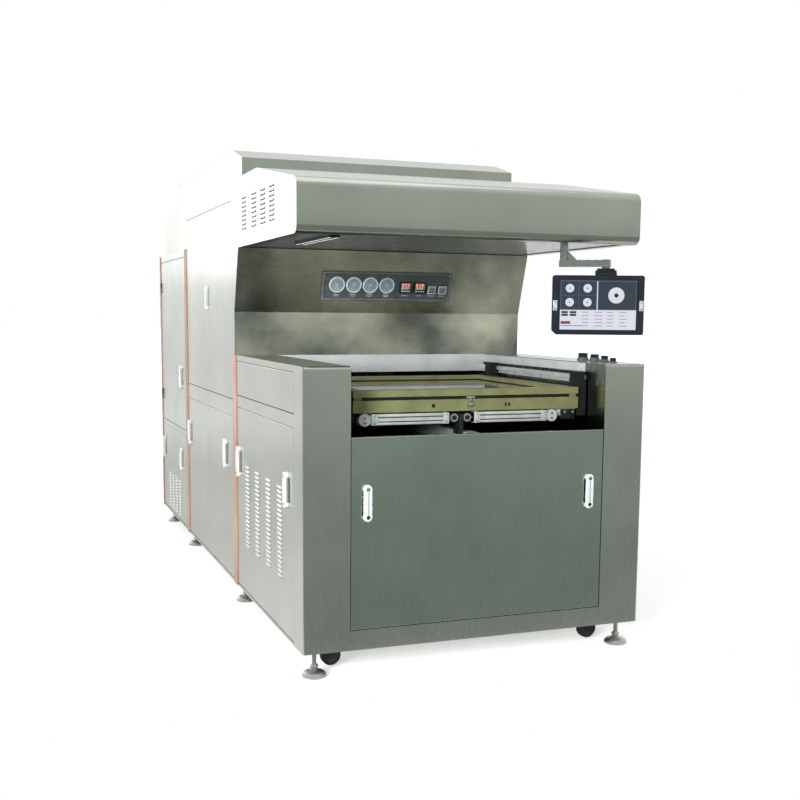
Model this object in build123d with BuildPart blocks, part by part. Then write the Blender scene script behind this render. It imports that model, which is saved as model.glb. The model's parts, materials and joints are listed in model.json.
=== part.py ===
from build123d import *
from math import atan2, cos, degrees, hypot, radians, sin, sqrt
import os

os.makedirs("parts", exist_ok=True)

# The machine stands on z = 0, the operator is on the -Y side, and x = 0 and y = 0 are its middle.
# All sizes are millimetres.

# Whole cabinet: its width, the depths of its three sections, and the heights of its steps
width = 1350
front_depth = 1085
middle_depth = 1215
rear_depth = 910
base_z = 98
arm_top = 1102
arm_width = 173
bay_height = 450
hood_height = 284
riser_height = 226

# Sheet metal
sheet = 2
wall = 3
frame_depth = 23
panel_depth = 20
seam = 2
landing = 15
edge_round = 2.5
joint_margin = 35

# Handles, and their distances from the front and rear of a section
handle_length = 130
handle_width = 32
handle_height = 14
handle_round = 4
grip_length = 92
grip_gap = 8
handle_from_front = 205
handle_from_rear = 82
handle_z = 651
rear_handle_z = 470

# Bands of the side panels
panel_lift = 12
front_upper_height = 147
front_top_band = 24
front_rail = 48
middle_lower_top = 833
middle_rail = 73
rear_lower_top = 614
rear_rail = 26
band_below_roof = 64
post_depth = 112

# Louvres
louvre_length = 75
louvre_slot = 5
louvre_pitch = 17.5

# Hood and sloped wall
hood_front = 70
hood_face_height = 188
ridge_depth = 650
hood_round = 36
wall_lean = 85
fold_rise = 183
lip_width = 42

# Roof housings
roof_inset = 41
roof_setback = 15
roof_front_height = 100
roof_height = 152
roof_slope_length = 185
roof_overlap = 490
riser_inset = 35
riser_setback = 4
outlet_radius = 100

# Table
table_gap = 47
table_front = 120
table_length = 870
lower_frame_z = 928
lower_frame_height = 44
frame_gap = 12
upper_frame_height = 25
frame_bar = 42
glass_thickness = 6
hinge_radius = 7
hinge_pin = 3

# Rails and guide blocks
rail_lift = 13
rail_height = 44
rail_head = 16
rail_base = 4
rail_reach = 14
rail_setback = 32
rail_end_gap = 40
running_gap = 0.3
slide_fit = 0.05

# Clamp cylinders
cylinder_drop = 25
cylinder_height = 40
cylinder_setback = 13
cylinder_depth = 34
post_x = -34
eye_offset = 26
eye_radius = 16.5
eye_bore = 8
eye_thickness = 14
clevis_inset = 79
clevis_radius = 23
rod_radius = 6

# Bay, chamber and table drive
bay_floor_drop = 128
bay_lip_height = 53
chamber_wall_rise = 291
carriage_height = 38
drive_height = 47
drive_half_width = 25

# Buttons on the right arm: distance from the front face, cap radius, height above the deck
button_inset = 86
buttons = {
    "start_button": (95, 12, 19),
    "vacuum_button": (157, 14, 25),
    "reset_button": (232, 17, 28),
    "stop_button": (323, 19, 30),
}
button_stem = 9
button_cap = 11

# Monitor and its arm; insets are from the right side of the cabinet
swivel_inset = 280
swivel_depth = 150
joint_inset = 150
joint_depth = 60
arm_drop = 87
arm_beam_height = 25
arm_beam_width = 36
swivel_post = 15
yoke_pin = 7
monitor_width = 342
monitor_height = 222
monitor_depth = 26
monitor_shift = -29.5
monitor_gap = 33
monitor_turn = -22.8
monitor_back_gap = 13
tilt_drop = 21

# Feet and castors
foot_inset = 58
foot_radius = 44
stem_radius = 8
castor_inset = 30
castor_depth = 144
rear_wheel_depth = 120
castor_trail = 24
wheel_radius = 37
wheel_width = 30
wheel_axle = 5
wheel_lift = 8
castor_stem = 7
bottom_plate = 5

# Supply section
blower_radius = 100
blower_width = 110

# Places worked out from the sizes above
half_width = width / 2
depth = front_depth + middle_depth + rear_depth
y_front = -depth / 2
y_middle = y_front + front_depth
y_rear = y_middle + middle_depth
y_back = depth / 2
arm_inner = half_width - arm_width
wheel_x = arm_inner + castor_inset
castor_x = wheel_x + castor_trail
foot_x = half_width - foot_inset
foot_depths = (60, front_depth + 69, front_depth + middle_depth + 107, depth - 60)
hood_bottom = arm_top + bay_height
hood_top = hood_bottom + hood_height
hood_face_top = hood_bottom + hood_face_height
rear_top = hood_top - riser_height
roof_edge = hood_top - band_below_roof
fold_z = arm_top + fold_rise
table_half_width = arm_inner - table_gap
upper_frame_z = lower_frame_z + lower_frame_height + frame_gap
table_top = upper_frame_z + upper_frame_height
table_y0 = y_front + table_front
table_y1 = table_y0 + table_length
rail_bottom = table_top + rail_lift
bay_floor_z = lower_frame_z - bay_floor_drop
drive_top = bay_floor_z + wall + drive_height
cylinder_z = lower_frame_z - cylinder_drop
cylinder_y = table_y0 + cylinder_setback
clevis_offset = table_half_width - clevis_inset
castor_hub_z = wheel_lift + wheel_radius
arm_beam_bottom = hood_bottom - arm_drop
tilt_z = arm_beam_bottom - tilt_drop
monitor_bottom = arm_beam_bottom - monitor_gap - monitor_height
swivel_x = half_width - swivel_inset
joint_x = half_width - joint_inset
case_front = 10 - monitor_back_gap - monitor_depth
monitor_end = monitor_shift + monitor_width / 2
monitor_yaw = radians(-monitor_turn)
front_reach = max(handle_height, monitor_end * sin(monitor_yaw) - case_front * cos(monitor_yaw) - joint_depth)
button_x = half_width - button_inset
panel_bottom = base_z + panel_lift
front_upper_top = arm_top - front_top_band
front_upper_bottom = front_upper_top - front_upper_height
front_lower_top = front_upper_bottom - front_rail
middle_upper_bottom = middle_lower_top + middle_rail
rear_upper_bottom = rear_lower_top + rear_rail
sides = (("left", -1), ("right", 1))

# Windows of the side frames: y from, y to, z from, z to
windows = {
    "front_lower": (y_front + post_depth, y_middle - joint_margin, panel_bottom, front_lower_top),
    "front_upper": (y_front + post_depth, y_middle - joint_margin, front_upper_bottom, front_upper_top),
    "middle_lower": (y_middle + joint_margin, y_rear - joint_margin, panel_bottom, middle_lower_top),
    "middle_upper": (y_middle + joint_margin, y_rear - joint_margin, middle_upper_bottom, roof_edge - landing),
    "rear_lower": (y_rear + joint_margin, y_back - joint_margin, panel_bottom, rear_lower_top),
    "rear_upper": (y_rear + joint_margin, y_back - joint_margin, rear_upper_bottom, rear_top - joint_margin),
}


def block(x, y, z, mode=Mode.ADD):
    """A box between two corners, given as two values for each axis."""
    with Locations(((x[0] + x[1]) / 2, (y[0] + y[1]) / 2, (z[0] + z[1]) / 2)):
        Box(abs(x[1] - x[0]), abs(y[1] - y[0]), abs(z[1] - z[0]), mode=mode)


def post(centre, radius, height, mode=Mode.ADD):
    """An upright cylinder on the point centre."""
    with Locations(centre):
        Cylinder(radius, height, align=(Align.CENTER, Align.CENTER, Align.MIN), mode=mode)


def side_plane(side, y, z):
    """The outer face of a side, seen from outside, with its local y upwards."""
    return Plane(origin=(side * half_width, y, z), x_dir=(0, side, 0), z_dir=(side, 0, 0))


def front_plane(x, y, z):
    return Plane(origin=(x, y, z), x_dir=(1, 0, 0), z_dir=(0, -1, 0))


def back_plane(x, z):
    return Plane(origin=(x, y_back, z), x_dir=(-1, 0, 0), z_dir=(0, 1, 0))


def write(name, *pieces):
    """Label one node, made of one or more separate solids, and write its file."""
    solids = [solid for piece in pieces for solid in piece.solids()]
    node = solids[0] if len(solids) == 1 else Compound(children=solids)
    node.label = name
    export_step(node, f"parts/{name}.step")


def tray(plane, length, height, louvres=None):
    """A folded sheet panel with its outer face on the plane, centred on the plane's origin."""
    with BuildPart() as panel:
        with BuildSketch(plane):
            Rectangle(length, height)
        extrude(amount=-panel_depth)
        outer = panel.faces().sort_by(Axis(plane.origin, plane.z_dir))[-1]
        fillet(outer.edges(), edge_round)
        with BuildSketch(plane.offset(-sheet)):
            Rectangle(length - 2 * sheet - 1, height - 2 * sheet - 1)
        extrude(amount=-panel_depth, mode=Mode.SUBTRACT)
        if louvres:
            slots(plane, *louvres)
    return panel.part


def slots(plane, columns, top, rows):
    """Rows of louvre slots below the height top, cut through the sheet on the plane."""
    places = [(x, top - row * louvre_pitch) for x in columns for row in range(rows)]
    with BuildSketch(plane.offset(1)) as openings:
        with Locations(*places):
            Rectangle(louvre_length, louvre_slot)
    extrude(openings.sketch, amount=-(wall + 2), mode=Mode.SUBTRACT)


def bridge_handle(plane, length=handle_length, breadth=handle_width):
    """A moulded handle standing on the plane, with room for the fingers under its grip."""
    grip = grip_length * length / handle_length
    with BuildPart() as handle:
        with BuildSketch(plane):
            SlotOverall(length, breadth, rotation=90)
        extrude(amount=handle_height)
        outer = handle.faces().sort_by(Axis(plane.origin, plane.z_dir))[-1]
        fillet(outer.edges(), handle_round)
        with BuildSketch(plane):
            Rectangle(breadth + 2, grip)
        extrude(amount=grip_gap, mode=Mode.SUBTRACT)
    return handle.part


def side_panel(side, window, handles=(), louvres=None, **handle_size):
    """The tray that fills a window, with its handles, each given by its y and z."""
    y0, y1, z0, z1 = windows[window]
    middle = side_plane(side, (y0 + y1) / 2, (z0 + z1) / 2)
    if louvres:
        columns, top, rows = louvres
        columns = [side * (column - middle.origin.Y) for column in columns]
        louvres = (columns, top - middle.origin.Z, rows)
    panel = tray(middle, y1 - y0 - 2 * seam, z1 - z0 - 2 * seam, louvres)
    return [panel, *[bridge_handle(side_plane(side, y, z), **handle_size) for y, z in handles]]


def side_frame(side, y0, y1, z0, z1, names):
    """One flat welded side with a rebated window for each named panel."""
    outer = side * half_width
    block((outer, outer - side * frame_depth), (y0, y1), (z0, z1))
    for name in names:
        wy0, wy1, wz0, wz1 = windows[name]
        block((outer, outer - side * panel_depth), (wy0, wy1), (wz0, wz1), Mode.SUBTRACT)
        block(
            (outer, outer - side * frame_depth),
            (wy0 + landing, wy1 - landing),
            (wz0 + landing, wz1 - landing),
            Mode.SUBTRACT,
        )


tube = 40


def cross_tube(y0, z0):
    """A square tube across the cabinet between its two side frames."""
    reach = half_width - frame_depth
    block((-reach, reach), (y0, y0 + tube), (z0, z0 + tube))
    block((-reach, reach), (y0 + wall, y0 + tube - wall), (z0 + wall, z0 + tube - wall), Mode.SUBTRACT)


# Front base: an inverted tray between the arms; its front face is the kick rail
kick_height = 72
kick_top = base_z + kick_height
with BuildPart() as front_base:
    block((-arm_inner, arm_inner), (y_front, y_middle), (base_z, kick_top))
    block(
        (wall - arm_inner, arm_inner - wall),
        (y_front + wall, y_middle - wall),
        (base_z, kick_top - wall),
        Mode.SUBTRACT,
    )
    block(
        (-arm_inner, arm_inner),
        (y_front + panel_depth, y_front + panel_depth + wall),
        (kick_top, kick_top + landing),
    )
write("front_base", front_base.part)


# Arms: hollow boxes beside the bay, open towards the side panels
arm_round = 12


def arm_shell(side):
    inner = side * arm_inner
    outer = side * half_width
    with BuildPart() as arm:
        block((inner, outer), (y_front, y_middle), (base_z, arm_top))
        front = arm.faces().sort_by(Axis.Y)[0]
        rounded = front.edges().filter_by(Axis.Z).sort_by(Axis.X)[-1 if side > 0 else 0]
        fillet([rounded, front.edges().filter_by(Axis.X).sort_by(Axis.Z)[-1]], arm_round)
        block(
            (inner + side * wall, outer - side * frame_depth),
            (y_front + wall, y_middle - wall),
            (base_z + bottom_plate, arm_top - wall),
            Mode.SUBTRACT,
        )
        for name in ("front_lower", "front_upper"):
            y0, y1, z0, z1 = windows[name]
            block((outer, outer - side * panel_depth), (y0, y1), (z0, z1), Mode.SUBTRACT)
            block(
                (outer, outer - side * frame_depth),
                (y0 + landing, y1 - landing),
                (z0 + landing, z1 - landing),
                Mode.SUBTRACT,
            )
        post(
            (side * castor_x, y_front + castor_depth, base_z - 1),
            castor_stem + slide_fit,
            bottom_plate + 2,
            Mode.SUBTRACT,
        )
        if side > 0:
            for depth_in, _, _ in buttons.values():
                post(
                    (button_x, y_front + depth_in, arm_top - wall - 1),
                    button_stem + slide_fit,
                    wall + 2,
                    Mode.SUBTRACT,
                )
    return arm.part


for label, side in sides:
    write(f"{label}_arm_shell", arm_shell(side))

# Floor of the bay, with a lip behind the front panel's top edge
bay_lip_top = bay_floor_z + bay_lip_height
with BuildPart() as bay_floor:
    block((-arm_inner, arm_inner), (y_front + panel_depth, y_middle), (bay_floor_z, bay_floor_z + wall))
    block(
        (-arm_inner, arm_inner),
        (y_front + panel_depth, y_front + panel_depth + wall),
        (bay_floor_z, bay_lip_top),
    )
write("bay_floor", bay_floor.part)

# Front panel, lifted off by its two handles
front_panel_z = (kick_top + seam, bay_lip_top + wall)
front_handle_inset = 61
front_handle_x = arm_inner - front_handle_inset
front_handle_z = 624
with BuildPart() as front_panel:
    add(
        tray(
            front_plane(0, y_front, sum(front_panel_z) / 2),
            2 * (arm_inner - seam),
            front_panel_z[1] - front_panel_z[0],
        )
    )
write(
    "front_panel",
    front_panel.part,
    *[bridge_handle(front_plane(x, y_front, front_handle_z)) for x in (-front_handle_x, front_handle_x)],
)

# Lower side panels: each one's ends, its handles' height, and its louvres' columns, top and rows
lower_panels = {
    "front": (
        (y_front, y_middle, handle_z),
        ([y_front + d for d in (317, 494, 679, 855)], 641, 20),
    ),
    "middle": ((y_middle, y_rear, handle_z), None),
    "rear": (
        (y_rear, y_back, rear_handle_z),
        ([y_rear + d for d in (300, 415, 530, 645)], 328, 12),
    ),
}
for label, side in sides:
    for section, ((y0, y1, z), louvres) in lower_panels.items():
        handles = ((y0 + handle_from_front, z), (y1 - handle_from_rear, z))
        write(f"{label}_{section}_panel", *side_panel(side, f"{section}_lower", handles, louvres))

# Fixed upper side panels, the middle ones with a slim handle
slim_handle = {"length": 115, "breadth": 18}
slim_handle_place = (y_middle + 611, 1352)
upper_panels = [piece for _, side in sides for piece in side_panel(side, "front_upper")]
for _, side in sides:
    upper_panels += side_panel(side, "middle_upper", (slim_handle_place,), **slim_handle)
upper_panels += side_panel(1, "rear_upper")
write("upper_side_panels", *upper_panels)

# Rear door on the left, hung on two hinges at its rear edge
door_y0, door_y1, door_z0, door_z1 = windows["rear_upper"]
knuckle_radius = 5
hinge_reach = knuckle_radius + running_gap
door_axis = (-half_width - hinge_reach, door_y1 + 1)
door_hinge_heights = (door_z0 + 120, door_z1 - 180)
knuckle_length = 30
door_pin = 2.5
hinge_leaf = 8
door_handle_inset = 190
door_handle_rise = 288
with BuildPart() as rear_door:
    add(side_panel(-1, "rear_upper")[0])
    for z in door_hinge_heights:
        post((*door_axis, z), knuckle_radius, knuckle_length)
        block(
            (-half_width - hinge_reach, -half_width),
            (door_y1 - 12, door_axis[1]),
            (z, z + knuckle_length),
        )
        post((*door_axis, z), door_pin + slide_fit, knuckle_length, Mode.SUBTRACT)
door_handle = bridge_handle(side_plane(-1, y_rear + door_handle_inset, door_z0 + door_handle_rise))
write("left_rear_door", rear_door.part, door_handle)


# Hood and the roof of the exposure section: one folded shell
def hood_form(inset):
    """The hood's solid form, with every face moved inwards by inset."""
    slope = atan2(hood_top - hood_face_top, ridge_depth - hood_front)
    drop = inset * (1 - sin(slope)) / cos(slope)
    with BuildPart() as form:
        with BuildSketch(Plane.YZ):
            with BuildLine():
                Polyline(
                    (y_front + hood_front + inset, hood_bottom + inset),
                    (y_front + hood_front + inset, hood_face_top - drop),
                    (y_front + ridge_depth, hood_top - inset),
                    (y_rear, hood_top - inset),
                    (y_rear, roof_edge),
                    (y_middle, roof_edge),
                    (y_middle, fold_z),
                    (y_middle - wall_lean, hood_bottom + inset),
                    close=True,
                )
            make_face()
        extrude(amount=half_width - inset, both=True)
        face = form.faces().sort_by(Axis.Y)[0]
        fillet(face.edges(), hood_round - inset)
    return form.part


hood_inside = hood_form(wall)
louvre_hood_columns = (415, 554, 702, 879)
louvre_hood_rows = 8
louvre_hood_top = roof_edge - 30
with BuildPart() as hood_shell:
    add(hood_form(0))
    add(hood_inside, mode=Mode.SUBTRACT)
    block(
        (lip_width - half_width, half_width - lip_width),
        (y_front + hood_front + lip_width, y_middle),
        (hood_bottom - 1, hood_bottom + wall + 1),
        Mode.SUBTRACT,
    )
    block(
        (wall - half_width, half_width - wall),
        (y_middle - wall_lean - 20, y_rear + 1),
        (fold_z - 1, roof_edge),
        Mode.SUBTRACT,
    )
    block((wall - half_width, half_width - wall), (y_rear - wall, y_rear), (roof_edge, hood_top - wall))
    for _, side in sides:
        columns = [side * (y_front + column) for column in louvre_hood_columns]
        slots(side_plane(side, 0, 0), columns, louvre_hood_top, louvre_hood_rows)
write("hood_shell", hood_shell.part)

# Dark panel closing the underside of the hood, with a hole for the monitor's swivel post
soffit_z = hood_bottom + wall
soffit_thickness = 5
soffit_top = soffit_z + soffit_thickness
soffit_gap = 5
with BuildPart() as hood_soffit:
    block(
        (wall + soffit_gap - half_width, half_width - wall - soffit_gap),
        (y_front + hood_front + hood_round + seam, y_middle - wall_lean - wall),
        (soffit_z, soffit_top),
    )
    post(
        (swivel_x, y_front + swivel_depth, soffit_z - 1),
        swivel_post + slide_fit,
        soffit_thickness + 2,
        Mode.SUBTRACT,
    )
write("hood_soffit", hood_soffit.part)

# Work light under the soffit
light_inset = 133
light_front = 130
light_length = 464
light_width = 42
light_height = 10
with BuildPart() as work_light:
    light_x = light_inset - half_width
    block(
        (light_x, light_x + light_width),
        (y_front + light_front, y_front + light_front + light_length),
        (soffit_z - light_height, soffit_z),
    )
    fillet(work_light.faces().sort_by(Axis.Z)[0].edges(), 5)
write("work_light", work_light.part)

# Sloped back wall: a bent sheet between the cheeks, with an upright foot down to the chamber's mouth
slope_plane = Plane(
    origin=(0, y_middle, fold_z),
    x_dir=(1, 0, 0),
    z_dir=(0, fold_z - hood_bottom, -wall_lean),
)
slope_length = hypot(hood_bottom - fold_z, wall_lean)
rail_notch = table_gap - 1
rail_notch_room = 8
gauge_x = (-231, -154, -77, 0)
gauge_up = 131
gauge_radius = 36
gauge_body = 29
controller_x = (89, 157)
controller_up = 124
controller_size = (57, 50)
timer_x = (215, 266)
timer_up = 115
timer_size = (42, 38)
plate_x = 4
plate_length = 610
plate_height = 132
plate_up = 125
plate_thickness = 5


def instrument_holes():
    with BuildSketch(slope_plane.offset(20)) as holes:
        with Locations(*[(x, gauge_up) for x in gauge_x]):
            Circle(gauge_body + 0.5)
        with Locations(*[(x, controller_up) for x in controller_x]):
            Rectangle(controller_size[0] - 8, controller_size[1] - 8)
        with Locations(*[(x, timer_up) for x in timer_x]):
            Rectangle(timer_size[0] - 8, timer_size[1] - 8)
    extrude(holes.sketch, amount=-40, mode=Mode.SUBTRACT)


with BuildPart() as back_wall:
    reach = half_width - wall
    with BuildSketch(Plane.YZ):
        with BuildLine():
            Polyline(
                (y_middle, arm_top),
                (y_middle, fold_z),
                (y_middle - wall_lean, hood_bottom),
                (y_middle - wall_lean - wall, hood_bottom),
                (y_middle - wall, fold_z),
                (y_middle - wall, arm_top),
                close=True,
            )
        make_face()
    extrude(amount=reach, both=True)
    block((-arm_inner, arm_inner), (y_middle - wall, y_middle), (rail_bottom, arm_top))
    for _, side in sides:
        block(
            (side * arm_inner, side * (arm_inner - rail_notch)),
            (y_middle - wall - 1, y_middle + 1),
            (rail_bottom, rail_bottom + rail_height + rail_notch_room),
            Mode.SUBTRACT,
        )
    instrument_holes()
write("back_wall", back_wall.part)

with BuildPart() as gauge_panel:
    with BuildSketch(slope_plane.offset(wall)):
        with Locations((plate_x, plate_up)):
            RectangleRounded(plate_length, plate_height, 8)
    extrude(amount=plate_thickness)
    instrument_holes()
write("gauge_panel", gauge_panel.part)

instrument_plane = slope_plane.offset(wall + plate_thickness)


def vacuum_gauge(x):
    with BuildPart() as gauge:
        with BuildSketch(instrument_plane):
            with Locations((x, gauge_up)):
                Circle(gauge_radius)
        extrude(amount=9)
        fillet(gauge.edges().sort_by(Axis(instrument_plane.origin, instrument_plane.z_dir))[-1], 2)
        with BuildSketch(instrument_plane):
            with Locations((x, gauge_up)):
                Circle(gauge_body)
        extrude(amount=-45)
    return gauge.part


def boxed_instrument(x, up, size):
    with BuildPart() as instrument:
        with BuildSketch(instrument_plane):
            with Locations((x, up)):
                RectangleRounded(*size, 3)
        extrude(amount=8)
        with BuildSketch(instrument_plane):
            with Locations((x, up)):
                Rectangle(size[0] - 9, size[1] - 9)
        extrude(amount=-60)
    return instrument.part


write("vacuum_gauges", *[vacuum_gauge(x) for x in gauge_x])
write(
    "panel_controllers",
    *[boxed_instrument(x, controller_up, controller_size) for x in controller_x],
    *[boxed_instrument(x, timer_up, timer_size) for x in timer_x],
)

# Guide rails along the arms' inner walls and on through the chamber
rail_y = (table_y0 + rail_setback, y_rear - rail_end_gap)
rail_centre = rail_bottom + rail_height / 2


def guide_rail(side):
    face = side * arm_inner
    with BuildPart() as rail:
        block((face, face - side * rail_base), rail_y, (rail_bottom, rail_bottom + rail_height))
        block(
            (face, face - side * rail_reach),
            rail_y,
            (rail_centre - rail_head / 2, rail_centre + rail_head / 2),
        )
    return rail.part


write("guide_rails", *[guide_rail(side) for _, side in sides])


# Chamber walls stand on the middle frame's floor and carry the rails there
floor_top = base_z + bottom_plate
chamber_wall_top = table_top + chamber_wall_rise


def chamber_wall(side):
    face = side * arm_inner
    with BuildPart() as piece:
        block((face, face + side * wall), (y_middle, y_rear - wall), (floor_top, chamber_wall_top))
    return piece.part


write("chamber_walls", *[chamber_wall(side) for _, side in sides])

# Middle frame: two side frames, a floor, cross tubes, stands for the drive, and beams that carry the hood
beam_inset = 35
beam_x = (half_width - beam_inset - tube, half_width - beam_inset)
beam_rise = 68
beam_bottom = hood_bottom + beam_rise
stand_half = 30
with BuildPart() as middle_frame:
    inside = half_width - frame_depth
    block((-half_width, half_width), (y_middle, y_rear), (base_z, floor_top))
    for y0 in (y_middle, y_rear - tube):
        cross_tube(y0, roof_edge - tube)
        block((-stand_half, stand_half), (y0, y0 + tube), (floor_top, bay_floor_z + wall))
    for _, side in sides:
        side_frame(side, y_middle, y_rear, base_z, roof_edge, ("middle_lower", "middle_upper"))
        block(
            (side * beam_x[0], side * beam_x[1]),
            (y_front + hood_front + lip_width, y_middle + tube),
            (beam_bottom, beam_bottom + tube),
        )
        block(
            (side * beam_x[0], side * inside),
            (y_middle, y_middle + tube),
            (beam_bottom, roof_edge - tube),
        )
write("middle_frame", middle_frame.part)

# Alignment cameras hang from two bridges that lie on the hood beams
bridge_depths = (330, 800)
camera_x = 300
camera_size = 52
bridge_width = 40
bridge_height = 25
lens_radius = 17
lens_gap = 4


def camera_bridge(depth_in):
    y = y_front + depth_in
    with BuildPart() as bridge:
        top = beam_bottom + tube
        block(
            (-beam_x[1], beam_x[1]),
            (y - bridge_width / 2, y + bridge_width / 2),
            (top, top + bridge_height),
        )
    return bridge.part


def camera(x, depth_in):
    y = y_front + depth_in
    half = camera_size / 2
    top = beam_bottom + tube
    lens_bottom = soffit_top + lens_gap
    with BuildPart() as body:
        block((x - half, x + half), (y - half, y + half), (top - camera_size, top))
        post((x, y, lens_bottom), lens_radius, top - camera_size - lens_bottom)
    return body.part


write(
    "alignment_cameras",
    *[camera_bridge(d) for d in bridge_depths],
    *[camera(x, d) for d in bridge_depths for x in (-camera_x, camera_x)],
)

# Lamp reflectors: two troughs that face each other above and below the table's place
reflector_end_gap = 60
reflector_y = (y_middle + tube + reflector_end_gap, y_rear - tube - reflector_end_gap)
reflector_narrow = arm_inner - 242
reflector_wide = arm_inner - 82
reflector_clearance = 368
upper_reflector_z = (roof_edge - tube, table_top + reflector_clearance + 23)
lower_reflector_z = (floor_top, lower_frame_z - reflector_clearance)
lamp_radius = 15
lamp_inset = 90


def reflector(z_back, z_open):
    """A folded trough with closed ends, from its flat back to its open side."""
    towards = 1 if z_open > z_back else -1
    with BuildPart() as trough:
        for inset, mode in ((0, Mode.ADD), (wall, Mode.SUBTRACT)):
            start = reflector_y[0] + inset
            with BuildSketch(Plane.XZ.offset(-start)):
                with BuildLine():
                    Polyline(
                        (inset - reflector_narrow, z_back + towards * inset),
                        (reflector_narrow - inset, z_back + towards * inset),
                        (reflector_wide - inset, z_open + towards * inset),
                        (inset - reflector_wide, z_open + towards * inset),
                        close=True,
                    )
                make_face()
            extrude(amount=-(reflector_y[1] - reflector_y[0] - 2 * inset), mode=mode)
        if towards < 0:
            block(
                (-reflector_narrow, reflector_narrow),
                (y_middle + 5, y_rear - 5),
                (z_back - wall, z_back),
            )
    return trough.part


def lamp(z):
    with BuildPart() as tube_lamp:
        with BuildSketch(Plane.XZ.offset(-(reflector_y[0] + wall))):
            with Locations((0, z)):
                Circle(lamp_radius)
        extrude(amount=-(reflector_y[1] - reflector_y[0] - 2 * wall))
    return tube_lamp.part


write("lamp_reflectors", reflector(*upper_reflector_z), reflector(*lower_reflector_z))
write("uv_lamps", lamp(upper_reflector_z[0] - lamp_inset), lamp(lower_reflector_z[0] + lamp_inset))

# Rear frame: two side frames, a back frame with two windows, a floor, and the rear wheels' brackets
back_windows = ("rear_lower", "rear_upper")
back_reach = half_width - joint_margin
rear_wheel_y = y_back - rear_wheel_depth
bracket_gap = 2
bracket_plate = 4
with BuildPart() as rear_frame:
    block((-half_width, half_width), (y_rear, y_back), (base_z, floor_top))
    cross_tube(y_rear, rear_top - wall - tube)
    block((-half_width, half_width), (y_back - frame_depth, y_back), (base_z, rear_top - wall))
    for name in back_windows:
        z0, z1 = windows[name][2:]
        block((-back_reach, back_reach), (y_back - panel_depth, y_back), (z0, z1), Mode.SUBTRACT)
        block(
            (landing - back_reach, back_reach - landing),
            (y_back - frame_depth, y_back),
            (z0 + landing, z1 - landing),
            Mode.SUBTRACT,
        )
    for _, side in sides:
        side_frame(side, y_rear, y_back, base_z, rear_top - wall, ("rear_lower", "rear_upper"))
        for offset in (-1, 1):
            near = side * wheel_x + offset * (wheel_width / 2 + bracket_gap)
            block(
                (near, near + offset * bracket_plate),
                (rear_wheel_y - 14, rear_wheel_y + 14),
                (castor_hub_z - 15, base_z),
            )
    for z in door_hinge_heights:
        post((*door_axis, z + knuckle_length + running_gap), knuckle_radius, knuckle_length)
        post((*door_axis, z), door_pin, knuckle_length + running_gap)
        block(
            (-half_width - hinge_reach, -half_width),
            (door_axis[1], door_axis[1] + hinge_leaf),
            (z + knuckle_length + running_gap, z + 2 * knuckle_length + running_gap),
        )
    for _, side in sides:
        with BuildSketch(Plane.YZ.offset(side * wheel_x)):
            with Locations((rear_wheel_y, castor_hub_z)):
                Circle(wheel_axle)
        extrude(amount=wheel_width / 2 + bracket_gap + 1, both=True)
write("rear_frame", rear_frame.part)

# Roof sheet of the rear section, with the blower's inlet below the riser
with BuildPart() as rear_roof:
    block((-half_width, half_width), (y_rear, y_back), (rear_top - wall, rear_top))
write("rear_roof", rear_roof.part)

# Back panels, the lower one with a cable gland
gland_x = back_reach - 220
gland_z = panel_bottom + 90
gland_radius = 22
gland_bore = 13
gland_length = 18
with BuildPart() as gland:
    with BuildSketch(back_plane(gland_x, gland_z)):
        Circle(gland_radius)
        Circle(gland_bore, mode=Mode.SUBTRACT)
    extrude(amount=gland_length)
back_trays = []
for name in back_windows:
    z0, z1 = windows[name][2:]
    columns = (-280, -190, -100, 100, 190, 280)
    back_trays.append(
        tray(
            back_plane(0, (z0 + z1) / 2),
            2 * (back_reach - seam),
            z1 - z0 - 2 * seam,
            (columns, (z1 - z0) / 2 - 60, 12),
        )
    )
write("back_panels", *back_trays, gland.part)

# Riser over the rear section and the long roof housing, both open shells, with the outlet collar
riser_half_width = half_width - riser_inset
riser_y1 = y_back - riser_setback
riser_round = 8
collar_y = y_back + front_reach
with BuildPart() as riser_housing:
    block((-riser_half_width, riser_half_width), (y_rear, riser_y1), (rear_top, hood_top))
    fillet(riser_housing.faces().sort_by(Axis.Y)[-1].edges().filter_by(Axis.Z), riser_round)
    block(
        (wall - riser_half_width, riser_half_width - wall),
        (y_rear + wall, riser_y1 - wall),
        (rear_top, hood_top - wall),
        Mode.SUBTRACT,
    )
    outlet_z = (rear_top + hood_top) / 2
    outlet_plane = Plane(origin=(0, collar_y, outlet_z), x_dir=(-1, 0, 0), z_dir=(0, 1, 0))
    with BuildSketch(outlet_plane):
        Circle(outlet_radius)
    extrude(amount=riser_y1 - collar_y)
    with BuildSketch(outlet_plane):
        Circle(outlet_radius - wall)
    extrude(amount=riser_y1 - collar_y - 2 * wall, mode=Mode.SUBTRACT)
write("riser_housing", riser_housing.part)


roof_round = 6


def roof_form(inset):
    """The roof housing's solid form, with every face moved inwards by inset."""
    front = y_middle + roof_setback
    rear = y_rear + roof_overlap
    top = hood_top + roof_height
    with BuildPart() as form:
        with BuildSketch(Plane.YZ):
            with BuildLine():
                Polyline(
                    (front + inset, hood_top),
                    (front + inset, hood_top + roof_front_height - inset / 2),
                    (front + roof_slope_length, top - inset),
                    (rear - inset, top - inset),
                    (rear - inset, hood_top),
                    close=True,
                )
            make_face()
        extrude(amount=half_width - roof_inset - inset, both=True)
        if not inset:
            fillet(form.edges().filter_by(Axis.Y).group_by(Axis.Z)[-1], roof_round)
    return form.part


with BuildPart() as roof_housing:
    add(roof_form(0))
    add(roof_form(wall), mode=Mode.SUBTRACT)
write("roof_housing", roof_housing.part)

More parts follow.
